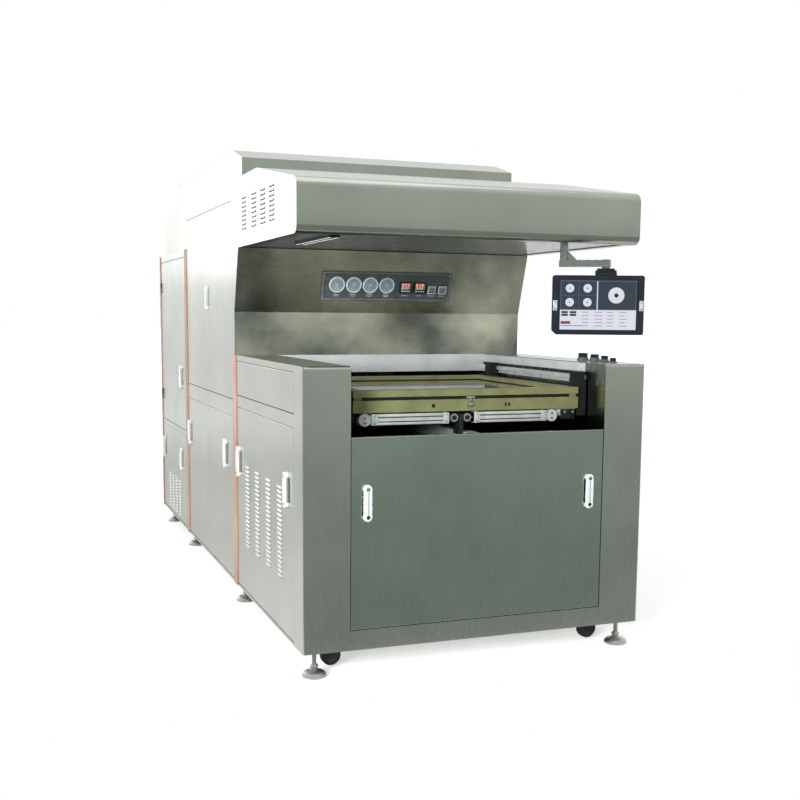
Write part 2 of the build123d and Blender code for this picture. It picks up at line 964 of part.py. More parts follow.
# Orange sealing strips over the joints between the sections, and at the rear edge
strip_half = 30
strip_thickness = 4
strip_places = (
    (y_middle - strip_half, y_middle + strip_half, arm_top),
    (y_rear - strip_half, y_rear + strip_half, rear_top),
    (door_axis[1] + hinge_leaf, y_back, rear_top),
)
strips = []
for _, side in sides:
    for y0, y1, top in strip_places:
        with BuildPart() as strip:
            block((side * half_width, side * (half_width + strip_thickness)), (y0, y1), (base_z, top))
        strips.append(strip.part)
write("joint_strips", *strips)

# Supply section: electrical cabinet, vacuum pump and exhaust blower
supply_inset = 115
cabinet_width = 620
cabinet_depth = 300
cabinet_setback = 120
cable_hole = 16
cabinet_x = (supply_inset - half_width, supply_inset - half_width + cabinet_width)
cabinet_y = (y_rear + cabinet_setback, y_rear + cabinet_setback + cabinet_depth)
cabinet_z = (floor_top, rear_top - 160)
with BuildPart() as electrical_cabinet:
    block(cabinet_x, cabinet_y, cabinet_z)
    fillet(electrical_cabinet.edges().filter_by(Axis.Z), 4)
    block(
        (cabinet_x[0] + sheet, cabinet_x[1] - sheet),
        (cabinet_y[0] + sheet, cabinet_y[1] - sheet),
        (cabinet_z[0] + sheet, cabinet_z[1] - sheet),
        Mode.SUBTRACT,
    )
    for share in (0.25, 0.5, 0.75):
        x = cabinet_x[0] + share * cabinet_width
        post((x, sum(cabinet_y) / 2, cabinet_z[0] - 1), cable_hole, sheet + 2, Mode.SUBTRACT)
write("electrical_cabinet", electrical_cabinet.part)

pump_base = (410, 180, 20)
pump_head = (130, 140, 200)
motor_radius = 70
motor_length = 240
motor_foot = (170, 100)
pump_x = half_width - supply_inset - pump_base[0]
pump_y = cabinet_y[1] + 100
pump_z = floor_top + pump_base[2] + 110
with BuildPart() as vacuum_pump:
    head_x = pump_x + 10
    motor_x = head_x + pump_head[0]
    base_top = floor_top + pump_base[2]
    block(
        (pump_x, pump_x + pump_base[0]),
        (pump_y - pump_base[1] / 2, pump_y + pump_base[1] / 2),
        (floor_top, base_top),
    )
    block(
        (head_x, motor_x),
        (pump_y - pump_head[1] / 2, pump_y + pump_head[1] / 2),
        (base_top, base_top + pump_head[2]),
    )
    with BuildSketch(Plane.YZ.offset(motor_x)):
        with Locations((pump_y, pump_z)):
            Circle(motor_radius)
    extrude(amount=motor_length)
    block(
        (motor_x + 40, motor_x + 40 + motor_foot[0]),
        (pump_y - motor_foot[1] / 2, pump_y + motor_foot[1] / 2),
        (base_top, pump_z),
    )
write("vacuum_pump", vacuum_pump.part)

blower_setback = 320
blower_clearance = 8
blower_shaft = 8
blower_outlet = 60
blower_motor = (55, 90)
blower_foot = (120, 160, 20)
blower_y = y_back - blower_setback
blower_z = rear_top + blower_radius + blower_clearance
blower_half = blower_width / 2


def blower_disc(x0, radius, length, mode=Mode.ADD):
    """A cylinder on the blower's shaft line, from x0 over length."""
    with BuildSketch(Plane.YZ.offset(x0)) as disc:
        with Locations((blower_y, blower_z)):
            Circle(radius)
    extrude(disc.sketch, amount=length, mode=mode)


with BuildPart() as exhaust_blower:
    blower_disc(-blower_half, blower_radius, blower_width)
    block(
        (-blower_foot[0] / 2, blower_foot[0] / 2),
        (blower_y - blower_foot[1] / 2, blower_y + blower_foot[1] / 2),
        (rear_top, rear_top + blower_foot[2]),
    )
    block(
        (-blower_half, blower_half),
        (blower_y, blower_y + blower_radius + blower_outlet),
        (blower_z, blower_z + blower_radius),
    )
    blower_disc(wall - blower_half, blower_radius - wall, blower_width, Mode.SUBTRACT)
    block(
        (wall - blower_half, blower_half - wall),
        (blower_y, blower_y + blower_radius + blower_outlet + 1),
        (blower_z + wall, blower_z + blower_radius - wall),
        Mode.SUBTRACT,
    )
    blower_disc(-blower_half - blower_motor[1], blower_motor[0], blower_motor[1])
    blower_disc(wall - blower_half, blower_shaft + slide_fit, -30, Mode.SUBTRACT)
write("exhaust_blower", exhaust_blower.part)

blade_count = 24
blade_length = 82
blade_chord = 18
blade_angle = 25
wheel_disc = blower_radius - 18
wheel_plate = 4
with BuildPart() as blower_wheel:
    start = wall - blower_half + wheel_plate
    blower_disc(start, wheel_disc, wheel_plate)
    blower_disc(start - 30, blower_shaft, 60)
    with BuildSketch(Plane.YZ.offset(start + wheel_plate - 1)):
        with Locations((blower_y, blower_z)):
            with PolarLocations(wheel_disc - 12, blade_count):
                Rectangle(blade_chord, sheet, rotation=blade_angle)
    extrude(amount=blade_length)
    with BuildSketch(Plane.YZ.offset(start + blade_length - 2)):
        with Locations((blower_y, blower_z)):
            Circle(wheel_disc)
            Circle(wheel_disc - 24, mode=Mode.SUBTRACT)
    extrude(amount=wheel_plate)
write("blower_wheel", blower_wheel.part)


# Levelling feet: a disc with a raised hub, a threaded stem and a lock nut
foot_rim = 8
foot_hub = (14, 28)
lock_nut = (14, 14)


def levelling_foot(x, depth_in):
    with BuildPart() as foot:
        with BuildSketch(Plane.XZ):
            with BuildLine():
                Polyline(
                    (0, 0),
                    (foot_radius, 0),
                    (foot_radius, foot_rim),
                    (foot_hub[0] + 6, foot_rim + 10),
                    foot_hub,
                    (stem_radius, foot_hub[1]),
                    (stem_radius, base_z),
                    (0, base_z),
                    close=True,
                )
            make_face()
        revolve(axis=Axis.Z)
        with BuildSketch(Plane.XY.offset(base_z - lock_nut[1])):
            RegularPolygon(lock_nut[0], 6)
        extrude(amount=lock_nut[1])
    return foot.part.moved(Location((x, y_front + depth_in, 0)))


write("levelling_feet", *[levelling_foot(side * foot_x, d) for d in foot_depths for _, side in sides])


# Castors: a swivelling fork with a stem through the arm's bottom plate, and its wheel
fork_leg = 4
fork_gap = 2
crown_radius = 30
crown_plate = 5


def castor_fork(side):
    x = side * castor_x
    y = y_front + castor_depth
    hub_y = y + castor_trail
    crown_top = base_z - running_gap
    crown_bottom = crown_top - crown_plate
    leg_inner = wheel_width / 2 + fork_gap
    leg_outer = leg_inner + fork_leg
    with BuildPart() as fork:
        post((x, y, crown_bottom), crown_radius, crown_plate)
        post((x, y, crown_top - 1), castor_stem, bottom_plate + 8)
        block((x - leg_outer, x + leg_outer), (y - 18, hub_y + 10), (crown_bottom - fork_leg, crown_bottom))
        for offset in (-1, 1):
            block(
                (x + offset * leg_inner, x + offset * leg_outer),
                (y - 8, hub_y + 10),
                (castor_hub_z - 10, crown_bottom),
            )
        with BuildSketch(Plane.YZ.offset(x)):
            with Locations((hub_y, castor_hub_z)):
                Circle(wheel_axle)
        extrude(amount=leg_inner + 1, both=True)
    return fork.part


wheel_round = 5


def wheel(x, y):
    with BuildPart() as roller:
        with BuildSketch(Plane.YZ.offset(x)):
            with Locations((y, castor_hub_z)):
                Circle(wheel_radius)
        extrude(amount=wheel_width / 2, both=True)
        fillet(roller.edges().filter_by(GeomType.CIRCLE), wheel_round)
        with BuildSketch(Plane.YZ.offset(x)):
            with Locations((y, castor_hub_z)):
                Circle(wheel_axle + slide_fit)
        extrude(amount=wheel_width, both=True, mode=Mode.SUBTRACT)
    return roller.part


# The castors are drawn trailing towards the rear and then turned to trail towards the middle
for label, side in sides:
    swivel_axis = Axis((side * castor_x, y_front + castor_depth, 0), (0, 0, 1))
    front_wheel = wheel(side * castor_x, y_front + castor_depth + castor_trail)
    write(f"{label}_castor_fork", castor_fork(side).rotate(swivel_axis, 90 * side))
    write(f"{label}_front_wheel", front_wheel.rotate(swivel_axis, 90 * side))
    write(f"{label}_rear_wheel", wheel(side * wheel_x, rear_wheel_y))

# Push buttons on the right arm, each with its stem through the deck
stem_reach = 24
for name, (depth_in, cap_radius, height) in buttons.items():
    with BuildPart() as button:
        centre = (button_x, y_front + depth_in)
        cap_bottom = arm_top + height - button_cap
        post((*centre, cap_bottom), cap_radius, button_cap)
        fillet(button.edges().filter_by(GeomType.CIRCLE).sort_by(Axis.Z)[-1], 3)
        post((*centre, arm_top - stem_reach), button_stem, cap_bottom - arm_top + stem_reach + 1)
    write(name, button.part)

# Table: the carriage runs on the rails with four blocks and carries the lower frame
block_half = 30
block_inner = table_half_width + 3
block_outer = arm_inner - rail_base - 1
block_inset = 45
block_y = (table_y0 + block_inset, table_y1 - block_inset)
beam_low = lower_frame_z - carriage_height
beam_half = 15
saddle_gap = 1
saddle_half_width = drive_half_width + 17
bracket_half = 14
with BuildPart() as table_carriage:
    for _, side in sides:
        block(
            (side * (table_half_width - 32), side * block_inner),
            (block_y[0] + 5, block_y[1] + block_half),
            (beam_low, lower_frame_z),
        )
        for y in block_y:
            block(
                (side * block_inner, side * block_outer),
                (y - block_half, y + block_half),
                (beam_low + 8, rail_bottom + rail_height),
            )
            block(
                (side * (arm_inner - rail_reach - running_gap), side * arm_inner),
                (y - block_half, y + block_half),
                (rail_centre - rail_head / 2 - running_gap, rail_centre + rail_head / 2 + running_gap),
                Mode.SUBTRACT,
            )
    for y in (block_y[0] + 20, block_y[1]):
        block((-table_half_width, table_half_width), (y - beam_half, y + beam_half), (beam_low, lower_frame_z))
    saddle_y = (block_y[1] - block_half, block_y[1] + block_half)
    block((-saddle_half_width, saddle_half_width), saddle_y, (drive_top + saddle_gap, beam_low))
    for _, side in sides:
        block(
            (side * (drive_half_width + saddle_gap), side * saddle_half_width),
            saddle_y,
            (drive_top - 25, drive_top + saddle_gap),
        )
    bracket_y1 = block_y[0] + 10
    block(
        (post_x - eye_offset - bracket_half, post_x + eye_offset + bracket_half),
        (cylinder_y + eye_thickness / 2 + 1, bracket_y1),
        (cylinder_z - 10, cylinder_z + 10),
    )
    block((post_x - 9, post_x + 9), (cylinder_y - 12, bracket_y1), (cylinder_z - 62, cylinder_z + 14))
    with BuildSketch(Plane.XZ.offset(-(cylinder_y - eye_thickness / 2 - 4))):
        with Locations(*[(post_x + offset, cylinder_z) for offset in (-eye_offset, eye_offset)]):
            Circle(eye_bore)
    extrude(amount=-(eye_thickness + 10))
write("table_carriage", table_carriage.part)


# Clamp cylinders: rods with eyes on the centre post's pins, and bodies that move outwards
rod_length = 150
rod_room = 2
clevis_thickness = 26
clevis_neck = (24, 20, 28)


def cylinder_rod(side):
    eye_x = post_x + side * eye_offset
    with BuildPart() as rod:
        with BuildSketch(Plane.XZ.offset(-(cylinder_y - eye_thickness / 2))):
            with Locations((eye_x, cylinder_z)):
                Circle(eye_radius)
        extrude(amount=-eye_thickness)
        with BuildSketch(Plane.YZ.offset(eye_x + side * (eye_bore + 2))):
            with Locations((cylinder_y, cylinder_z)):
                Circle(rod_radius)
        extrude(amount=side * rod_length)
        with BuildSketch(Plane.XZ.offset(-(cylinder_y - eye_thickness))):
            with Locations((eye_x, cylinder_z)):
                Circle(eye_bore + slide_fit)
        extrude(amount=-2 * eye_thickness, mode=Mode.SUBTRACT)
    return rod.part


def clamp_cylinder(side):
    near = post_x + side * (eye_offset + eye_radius + 8)
    far = post_x + side * (clevis_offset - clevis_neck[0])
    clevis = post_x + side * clevis_offset
    rod_end = post_x + side * (eye_offset + eye_bore + 2 + rod_length + rod_room)
    y_half = cylinder_depth / 2
    z_half = cylinder_height / 2
    with BuildPart() as cylinder:
        block((near, far), (cylinder_y - y_half, cylinder_y + y_half), (cylinder_z - z_half, cylinder_z + z_half))
        fillet(cylinder.edges().filter_by(Axis.X), 4)
        block(
            (far, clevis),
            (cylinder_y - clevis_neck[1] / 2, cylinder_y + clevis_neck[1] / 2),
            (cylinder_z - clevis_neck[2] / 2, cylinder_z + clevis_neck[2] / 2),
        )
        with BuildSketch(Plane.XZ.offset(-(cylinder_y - clevis_thickness / 2))):
            with Locations((clevis, cylinder_z)):
                Circle(clevis_radius)
        extrude(amount=-clevis_thickness)
        with BuildSketch(Plane.YZ.offset(near)):
            with Locations((cylinder_y, cylinder_z)):
                Circle(rod_radius + slide_fit)
        extrude(amount=rod_end - near, mode=Mode.SUBTRACT)
    return cylinder.part


write("cylinder_rods", *[cylinder_rod(side) for _, side in sides])
for label, side in sides:
    write(f"{label}_clamp_cylinder", clamp_cylinder(side))

# Frames of the table: rings of bar with glass, the upper one hinged at its rear edge
hinge_y = table_y1 + hinge_radius + 2
hinge_z = upper_frame_z + 6
hinge_inset = 125
hinge_x = (hinge_inset - table_half_width, table_half_width - hinge_inset)
upper_knuckle = 40
lower_knuckle = 28
inner_x = table_half_width - frame_bar
inner_y = (table_y0 + frame_bar, table_y1 - frame_bar)
glass_ledge = 12
glass_fit = 0.2
stop_inset = 20
stop_half = 14


def frame_ring(z0, z1, glass_z0, glass_z1):
    """A ring of bar with a rebate for its glass."""
    block((-table_half_width, table_half_width), (table_y0, table_y1), (z0, z1))
    block((-inner_x, inner_x), inner_y, (z0, z1), Mode.SUBTRACT)
    block(
        (-inner_x - glass_ledge, inner_x + glass_ledge),
        (inner_y[0] - glass_ledge, inner_y[1] + glass_ledge),
        (glass_z0, glass_z1),
        Mode.SUBTRACT,
    )


def hinge_barrel(x0, x1, radius, mode=Mode.ADD):
    with BuildSketch(Plane.YZ.offset(x0)) as section:
        with Locations((hinge_y, hinge_z)):
            Circle(radius)
    extrude(section.sketch, amount=x1 - x0, mode=mode)


lower_top = lower_frame_z + lower_frame_height
with BuildPart() as lower_frame:
    frame_ring(lower_frame_z, lower_top, lower_top - glass_thickness, lower_top)
    for x in (stop_inset - table_half_width, table_half_width - stop_inset):
        for y in (table_y0 + stop_inset, table_y1 - stop_inset):
            block(
                (x - stop_half, x + stop_half),
                (y - stop_half, y + stop_half),
                (lower_top, upper_frame_z),
            )
    for x in hinge_x:
        outward = 1 if x > 0 else -1
        x0 = x + outward * (upper_knuckle / 2 + running_gap)
        x1 = x0 + outward * lower_knuckle
        hinge_barrel(x0, x1, hinge_radius)
        block((x0, x1), (table_y1, hinge_y + hinge_radius), (lower_top - 12, hinge_z))
        hinge_barrel(x - outward * upper_knuckle / 2, x1, hinge_pin)
write("lower_frame", lower_frame.part)


def glass_sheet(z0):
    with BuildPart() as pane:
        block(
            (glass_fit - inner_x - glass_ledge, inner_x + glass_ledge - glass_fit),
            (inner_y[0] - glass_ledge + glass_fit, inner_y[1] + glass_ledge - glass_fit),
            (z0, z0 + glass_thickness),
        )
    return pane.part


write("lower_glass", glass_sheet(lower_top - glass_thickness))
with BuildPart() as upper_frame:
    frame_ring(upper_frame_z, table_top, upper_frame_z, upper_frame_z + glass_thickness)
    for x in hinge_x:
        hinge_barrel(x - upper_knuckle / 2, x + upper_knuckle / 2, hinge_radius)
        block(
            (x - upper_knuckle / 2, x + upper_knuckle / 2),
            (table_y1 - 2, hinge_y),
            (hinge_z - 2, hinge_z + hinge_radius),
        )
        hinge_barrel(x - upper_knuckle, x + upper_knuckle, hinge_pin + slide_fit, Mode.SUBTRACT)
write("upper_frame", upper_frame.part)
write("upper_glass", glass_sheet(upper_frame_z))

# Linear drive on the bay floor and the middle frame's stands; its top guides the carriage's saddle
drive_end_gap = 60
drive_round = 3
with BuildPart() as table_drive:
    block(
        (-drive_half_width, drive_half_width),
        (y_front + drive_end_gap, y_rear - drive_end_gap),
        (bay_floor_z + wall, drive_top),
    )
    fillet(table_drive.edges().filter_by(Axis.Y).group_by(Axis.Z)[-1], drive_round)
write("table_drive", table_drive.part)

# Monitor: swivel arm under the hood, yoke, case and screen
swivel_y = y_front + swivel_depth
joint_y = y_front + joint_depth
arm_angle = degrees(atan2(joint_y - swivel_y, joint_x - swivel_x))
arm_length = hypot(joint_x - swivel_x, joint_y - swivel_y)
socket_radius = 14
socket_drop = 6
with BuildPart() as monitor_arm:
    post((swivel_x, swivel_y, arm_beam_bottom), swivel_post, soffit_top + 20 - arm_beam_bottom)
    post((swivel_x, swivel_y, soffit_top + running_gap), swivel_post + 10, 8)
    with BuildSketch(Plane.XY.offset(arm_beam_bottom)):
        with Locations(((swivel_x + joint_x) / 2, (swivel_y + joint_y) / 2)):
            SlotCenterToCenter(arm_length, arm_beam_width, rotation=arm_angle)
    extrude(amount=arm_beam_height)
    post((joint_x, joint_y, arm_beam_bottom - socket_drop), socket_radius, arm_beam_height + socket_drop + 2)
    post(
        (joint_x, joint_y, arm_beam_bottom - socket_drop - 1),
        yoke_pin + slide_fit,
        arm_beam_height + socket_drop - 1,
        Mode.SUBTRACT,
    )
write("monitor_arm", monitor_arm.part)

# The yoke and the monitor are drawn square and then turned about the joint's axis
monitor_axis = Location((joint_x, joint_y, 0), (0, 0, monitor_turn))
lug_inner = 32
lug_thickness = 7
tilt_pin = 4
tilt_pin_end = 1
yoke_top = arm_beam_bottom - socket_drop - running_gap
with BuildPart() as monitor_yoke:
    post((0, 0, tilt_z), yoke_pin, arm_beam_bottom + arm_beam_height - 6 - tilt_z)
    block((running_gap - lug_inner, lug_inner - running_gap), (-10, 10), (tilt_z - 7, yoke_top))
    with BuildSketch(Plane.YZ.offset(-lug_inner - lug_thickness - tilt_pin_end)):
        with Locations((0, tilt_z)):
            Circle(tilt_pin)
    extrude(amount=2 * (lug_inner + lug_thickness + tilt_pin_end))
write("monitor_yoke", monitor_yoke.part.moved(monitor_axis))

case_round = 9
chamfered_corner = 16
screen_depth = 4
screen_fit = 0.2
screen_width = monitor_width - 57
screen_height = monitor_height - 38
monitor_top = monitor_bottom + monitor_height
monitor_middle = monitor_bottom + monitor_height / 2
with BuildPart() as monitor_case:
    with BuildSketch(front_plane(monitor_shift, case_front, monitor_middle)):
        RectangleRounded(monitor_width, monitor_height, case_round)
        with Locations((-monitor_width / 2, -monitor_height / 2)):
            Rectangle(chamfered_corner * sqrt(2), chamfered_corner * sqrt(2), 45, mode=Mode.SUBTRACT)
    extrude(amount=-monitor_depth)
    with BuildSketch(front_plane(monitor_shift, case_front, monitor_middle)):
        Rectangle(screen_width, screen_height)
    extrude(amount=-screen_depth, mode=Mode.SUBTRACT)
    for side in (-1, 1):
        lug_x = (side * lug_inner, side * (lug_inner + lug_thickness))
        block(lug_x, (-9, 7), (monitor_top - 20, tilt_z + 8))
        block(lug_x, (case_front + monitor_depth - 3, 7), (monitor_top - 20, monitor_top))
    with BuildSketch(Plane.YZ.offset(-lug_inner - lug_thickness - 1)):
        with Locations((0, tilt_z)):
            Circle(tilt_pin + slide_fit)
    extrude(amount=2 * (lug_inner + lug_thickness + 1), mode=Mode.SUBTRACT)
write("monitor_case", monitor_case.part.moved(monitor_axis))

with BuildPart() as monitor_screen:
    with BuildSketch(front_plane(monitor_shift, case_front + 1, monitor_middle)):
        Rectangle(screen_width - 2 * screen_fit, screen_height - 2 * screen_fit)
    extrude(amount=1 - screen_depth)
write("monitor_screen", monitor_screen.part.moved(monitor_axis))
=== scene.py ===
"""Looks of a circuit board exposure machine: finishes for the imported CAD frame, and the pieces that dress it.

Laid out as a Blender add-on. Lengths written in millimetres go through MM or mm(), so the scene is in metres.
"""

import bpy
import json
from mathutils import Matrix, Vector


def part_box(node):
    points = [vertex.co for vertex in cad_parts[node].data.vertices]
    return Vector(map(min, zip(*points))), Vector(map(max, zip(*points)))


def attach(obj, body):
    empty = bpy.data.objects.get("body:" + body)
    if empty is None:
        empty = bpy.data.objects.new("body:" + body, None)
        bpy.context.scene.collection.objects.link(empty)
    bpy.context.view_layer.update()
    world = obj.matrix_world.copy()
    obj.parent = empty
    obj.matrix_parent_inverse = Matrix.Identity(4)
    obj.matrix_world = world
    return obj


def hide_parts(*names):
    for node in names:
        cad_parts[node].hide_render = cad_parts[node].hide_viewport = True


bl_info = {
    "name": "Exposure machine dressing",
    "version": (1, 0, 0),
    "blender": (4, 5, 0),
    "location": "View3D > Sidebar > Exposure machine",
    "description": "Finishes and details for a circuit board exposure machine",
    "category": "Object",
}

import json
from functools import cache
from math import atan2, pi, radians

import bmesh
import bpy
from bpy.props import FloatProperty, FloatVectorProperty, IntProperty, PointerProperty
from mathutils import Matrix, Vector

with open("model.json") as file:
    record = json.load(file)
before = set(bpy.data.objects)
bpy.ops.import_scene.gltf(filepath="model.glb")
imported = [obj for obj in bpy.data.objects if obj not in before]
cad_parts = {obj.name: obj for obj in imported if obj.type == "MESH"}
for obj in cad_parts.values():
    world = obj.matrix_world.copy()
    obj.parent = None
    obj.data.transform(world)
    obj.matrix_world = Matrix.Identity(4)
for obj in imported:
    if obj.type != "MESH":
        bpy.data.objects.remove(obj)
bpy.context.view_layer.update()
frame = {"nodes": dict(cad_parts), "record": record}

MM = 0.001
SIDES = (("left", -1), ("right", 1))


def mm(*values):
    """A point or size given in millimetres, in metres."""
    return Vector(values) * MM


def linear(hex_colour):
    """An sRGB hex colour as linear red, green and blue."""
    parts = [int(hex_colour[i : i + 2], 16) / 255 for i in (1, 3, 5)]
    return tuple(p / 12.92 if p <= 0.04045 else ((p + 0.055) / 1.055) ** 2.4 for p in parts)


def rgba(colour):
    """A hex or linear colour with full alpha, for a socket."""
    return (*(linear(colour) if isinstance(colour, str) else tuple(colour)), 1.0)


# Places read from the frame, in metres
arm_low, arm_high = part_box("right_arm_shell")
HALF_WIDTH = arm_high.x
ARM_INNER = arm_low.x
FRONT = arm_low.y
MIDDLE = arm_high.y
DECK = arm_high.z
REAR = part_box("rear_frame")[0].y
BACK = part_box("rear_frame")[1].y
OPENINGS = {opening["name"]: opening["box_m"] for opening in frame["record"]["physics"]["openings"]}


def middle_of(name):
    """The middle of a node's box."""
    low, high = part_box(name)
    return (low + high) / 2


# ---------------------------------------------------------------- node and finish helpers


def add_node(tree, kind, values=None):
    """Adds a node. A value named like an input goes there, linked if it is a socket. Others set the node."""
    node = tree.nodes.new(kind)
    for key, value in (values or {}).items():
        if key == "stops":
            for element, stop in zip(node.color_ramp.elements, value):
                element.position, element.color = stop
        elif not isinstance(key, int) and key not in node.inputs:
            setattr(node, key, value)
        elif isinstance(value, bpy.types.NodeSocket):
            tree.links.new(value, node.inputs[key])
        else:
            node.inputs[key].default_value = value
    return node


def calculate(tree, operation, *values):
    """A Math node's output. Each value is a number, or the socket it comes from."""
    return add_node(tree, "ShaderNodeMath", {"operation": operation, **dict(enumerate(values))}).outputs[0]


def ranged(tree, value, start, stop, low, high):
    """A socket's value, mapped from start and stop to low and high."""
    values = {"Value": value, "From Min": start, "From Max": stop, "To Min": low, "To Max": high}
    return add_node(tree, "ShaderNodeMapRange", values).outputs["Result"]


def start_finish(name, **sockets):
    """A new material with its shader's own sockets set, and its Object coordinates."""
    finish = bpy.data.materials.new(name)
    finish.use_nodes = True
    tree = finish.node_tree
    tree.nodes.clear()
    values = {key.replace("_", " "): value for key, value in sockets.items()}
    shader = add_node(tree, "ShaderNodeBsdfPrincipled", values)
    add_node(tree, "ShaderNodeOutputMaterial", {"Surface": shader.outputs[0]})
    where = add_node(tree, "ShaderNodeTexCoord").outputs["Object"]
    return finish, tree, shader, where


# Noise keeps mostly between these two values
QUIET, LOUD = 0.3, 0.7


def mottle(tree, shader, where, colours, size, detail=3.0):
    """Soft patches of two close colours, each patch about size millimetres across."""
    values = {"Scale": 1000 / size, "Detail": detail, "Roughness": 0.55, "Vector": where}
    noise = add_node(tree, "ShaderNodeTexNoise", values)
    stops = list(zip((QUIET, LOUD), map(rgba, colours)))
    patches = add_node(tree, "ShaderNodeValToRGB", {"stops": stops, "Fac": noise.outputs["Fac"]})
    tree.links.new(patches.outputs["Color"], shader.inputs["Base Color"])
    return patches.outputs["Color"]


def texture_surface(tree, shader, where, grain, rough, relief):
    """Fine noise of a grain in millimetres. It sets the roughness between two values and stands in relief."""
    cell = grain if isinstance(grain, tuple) else (grain,) * 3
    scale = tuple(1000 / side for side in cell)
    scaled = add_node(tree, "ShaderNodeMapping", {"Scale": scale, "Vector": where})
    values = {"Scale": 1.0, "Detail": 2.0, "Vector": scaled.outputs["Vector"]}
    noise = add_node(tree, "ShaderNodeTexNoise", values).outputs["Fac"]
    tree.links.new(ranged(tree, noise, QUIET, LOUD, *rough), shader.inputs["Roughness"])
    bump = add_node(tree, "ShaderNodeBump", {"Strength": 0.6, "Distance": relief * MM, "Height": noise})
    tree.links.new(bump.outputs["Normal"], shader.inputs["Normal"])
    return noise


def finish_of(name, colours, patch, grain, rough, relief, detail=3.0, **sockets):
    """A function that makes the named finish when it is first called, and gives the same one after that.

    It has soft patches of two colours over a fine grain, both with their size in millimetres.
    """

    @cache
    def finish():
        made, tree, shader, where = start_finish(name, **sockets)
        mottle(tree, shader, where, colours, patch, detail)
        texture_surface(tree, shader, where, grain, rough, relief)
        return made

    return finish


# ---------------------------------------------------------------- finishes


def stainless(name, colours, grain, patch=320, offset=0.0):
    """Brushed stainless sheet, 304: fine parallel scratches that blur what it mirrors along one direction,
    with a greenish grey cast and broad faint smudge patches. Where its two colours lie far apart, as on the
    sloped wall, the broad patches are painted reflection and painted shade, and offset shifts where they fall."""
    finish, tree, shader, where = start_finish(name, Metallic=1.0)
    smudged = where
    if offset:
        moved = add_node(tree, "ShaderNodeMapping", {"Location": (offset, 0.0, 0.0), "Vector": where})
        smudged = moved.outputs["Vector"]
    # On the sloped wall these broad patches are painted reflection and painted shade
    patches_and_painted_glow = mottle(tree, shader, smudged, colours, patch, detail=4.0)
    scratches = texture_surface(tree, shader, where, grain, (0.2, 0.28), 0.006)
    streaks = ranged(tree, scratches, QUIET, LOUD, 0.965, 1.03)
    shaded = add_node(tree, "ShaderNodeVectorMath", {"operation": "SCALE", 0: patches_and_painted_glow, "Scale": streaks})
    tree.links.new(shaded.outputs["Vector"], shader.inputs["Base Color"])
    return finish


# Sheet grain: the scratches are drawn 1.2 to 1.3 mm apart, so that they show
UPRIGHT_GRAIN = (1.2, 1.2, 90.0)


@cache
def upright_stainless():
    """Sheet brushed up and down, as on the arms, the frames and the side panels."""
    return stainless("brushed stainless, upright grain", ("#b3b7b0", "#c2c5be"), UPRIGHT_GRAIN)


@cache
def front_stainless():
    """The front cover's sheet, a shade darker and greener than the arms beside it."""
    return stainless("brushed stainless, front cover", ("#a2ada4", "#b0b9b0"), UPRIGHT_GRAIN)


@cache
def level_stainless():
    """Sheet brushed from side to side, as on the hood and the roof."""
    return stainless("brushed stainless, level grain", ("#aeb1a9", "#bcbeb5"), (110.0, 1.3, 1.3))


@cache
def slope_stainless():
    """The sloped wall's sheet, in broad patches that are painted reflection and painted shade: warm painted
    reflection over most of it, with broad cool painted shade at its left end and foot.
    """
    # Dark cool grey to warm near-white: painted shade and painted reflection, placed by the offset
    colours = ("#656a6b", "#fcf7e2")
    return stainless("brushed stainless, sloped wall", colours, (90.0, 1.3, 1.3), patch=430, offset=0.35)


# Pale galvanised liner sheet inside the bay: dull zinc with soft spangle
liner_sheet = finish_of(
    "galvanised liner sheet", ("#bfc4c5", "#cdd1d2"), patch=90, grain=6.0, rough=(0.35, 0.5), relief=0.03,
    Metallic=0.45,
)
# Satin chrome, as on the gauges' bezels: white metal, softly blurred, but mostly diffuse; its pale white is
# painted reflection of the bright room that chrome mirrors
satin_chrome_painted_reflection = finish_of(
    "satin chrome, painted reflection", ("#dcdfde", "#eceeed"), patch=12, grain=0.6, rough=(0.25, 0.38), relief=0.01, Metallic=0.3
)
# Moulded ABS, light grey, for the handles: satin with a faint pebble
handle_plastic = finish_of(
    "moulded ABS, light grey", ("#c6cacb", "#d8dcdd"), patch=14, grain=0.8, rough=(0.38, 0.5),
    relief=0.04, IOR=1.5,
)
# The handle's middle band: the same ABS, moulded rougher for the fingers; its greyer colour is painted shade
# along the middle of the grip
handle_band_painted_shade = finish_of(
    "moulded ABS, painted shade band", ("#8f989c", "#a0a8ab"), patch=10, grain=(1.0, 6.0, 1.0), rough=(0.45, 0.6),
    relief=0.05, IOR=1.5,
)
# Moulded ABS, blue black, as on the monitor's case and the push buttons: satin and slightly dusty
black_plastic = finish_of(
    "moulded ABS, blue black", ("#0c0f17", "#141925"), patch=60, grain=0.7, rough=(0.32, 0.46),
    relief=0.04, IOR=1.5,
)
# Polished steel, as on screws, pins and nuts: a clear mirror with faint turning marks
bright_steel = finish_of(
    "polished steel", ("#b9bcbc", "#d2d4d4"), patch=30, grain=0.6, rough=(0.14, 0.26),
    relief=0.01, Metallic=1.0,
)
# Ground rail steel: bright, with grinding lines along the rail
ground_steel = finish_of(
    "ground rail steel", ("#b3b9b9", "#c6cbca"), patch=120, grain=(1.0, 80.0, 1.0), rough=(0.2, 0.28),
    relief=0.004, Metallic=0.55,
)
# Zinc-plated steel: pale, blotchy and half dull
zinc_steel = finish_of(
    "zinc-plated steel", ("#9a9e9b", "#b0b3af"), patch=12, grain=1.5, rough=(0.3, 0.42),
    relief=0.01, Metallic=1.0,
)
# Clear-anodised extrusion: pale grey with drawing lines along its length
anodised_aluminium = finish_of(
    "clear-anodised aluminium", ("#b0b5b2", "#cbcfcb"), patch=50, grain=(60.0, 1.2, 1.2), rough=(0.26, 0.4),
    relief=0.04, Metallic=0.5,
)
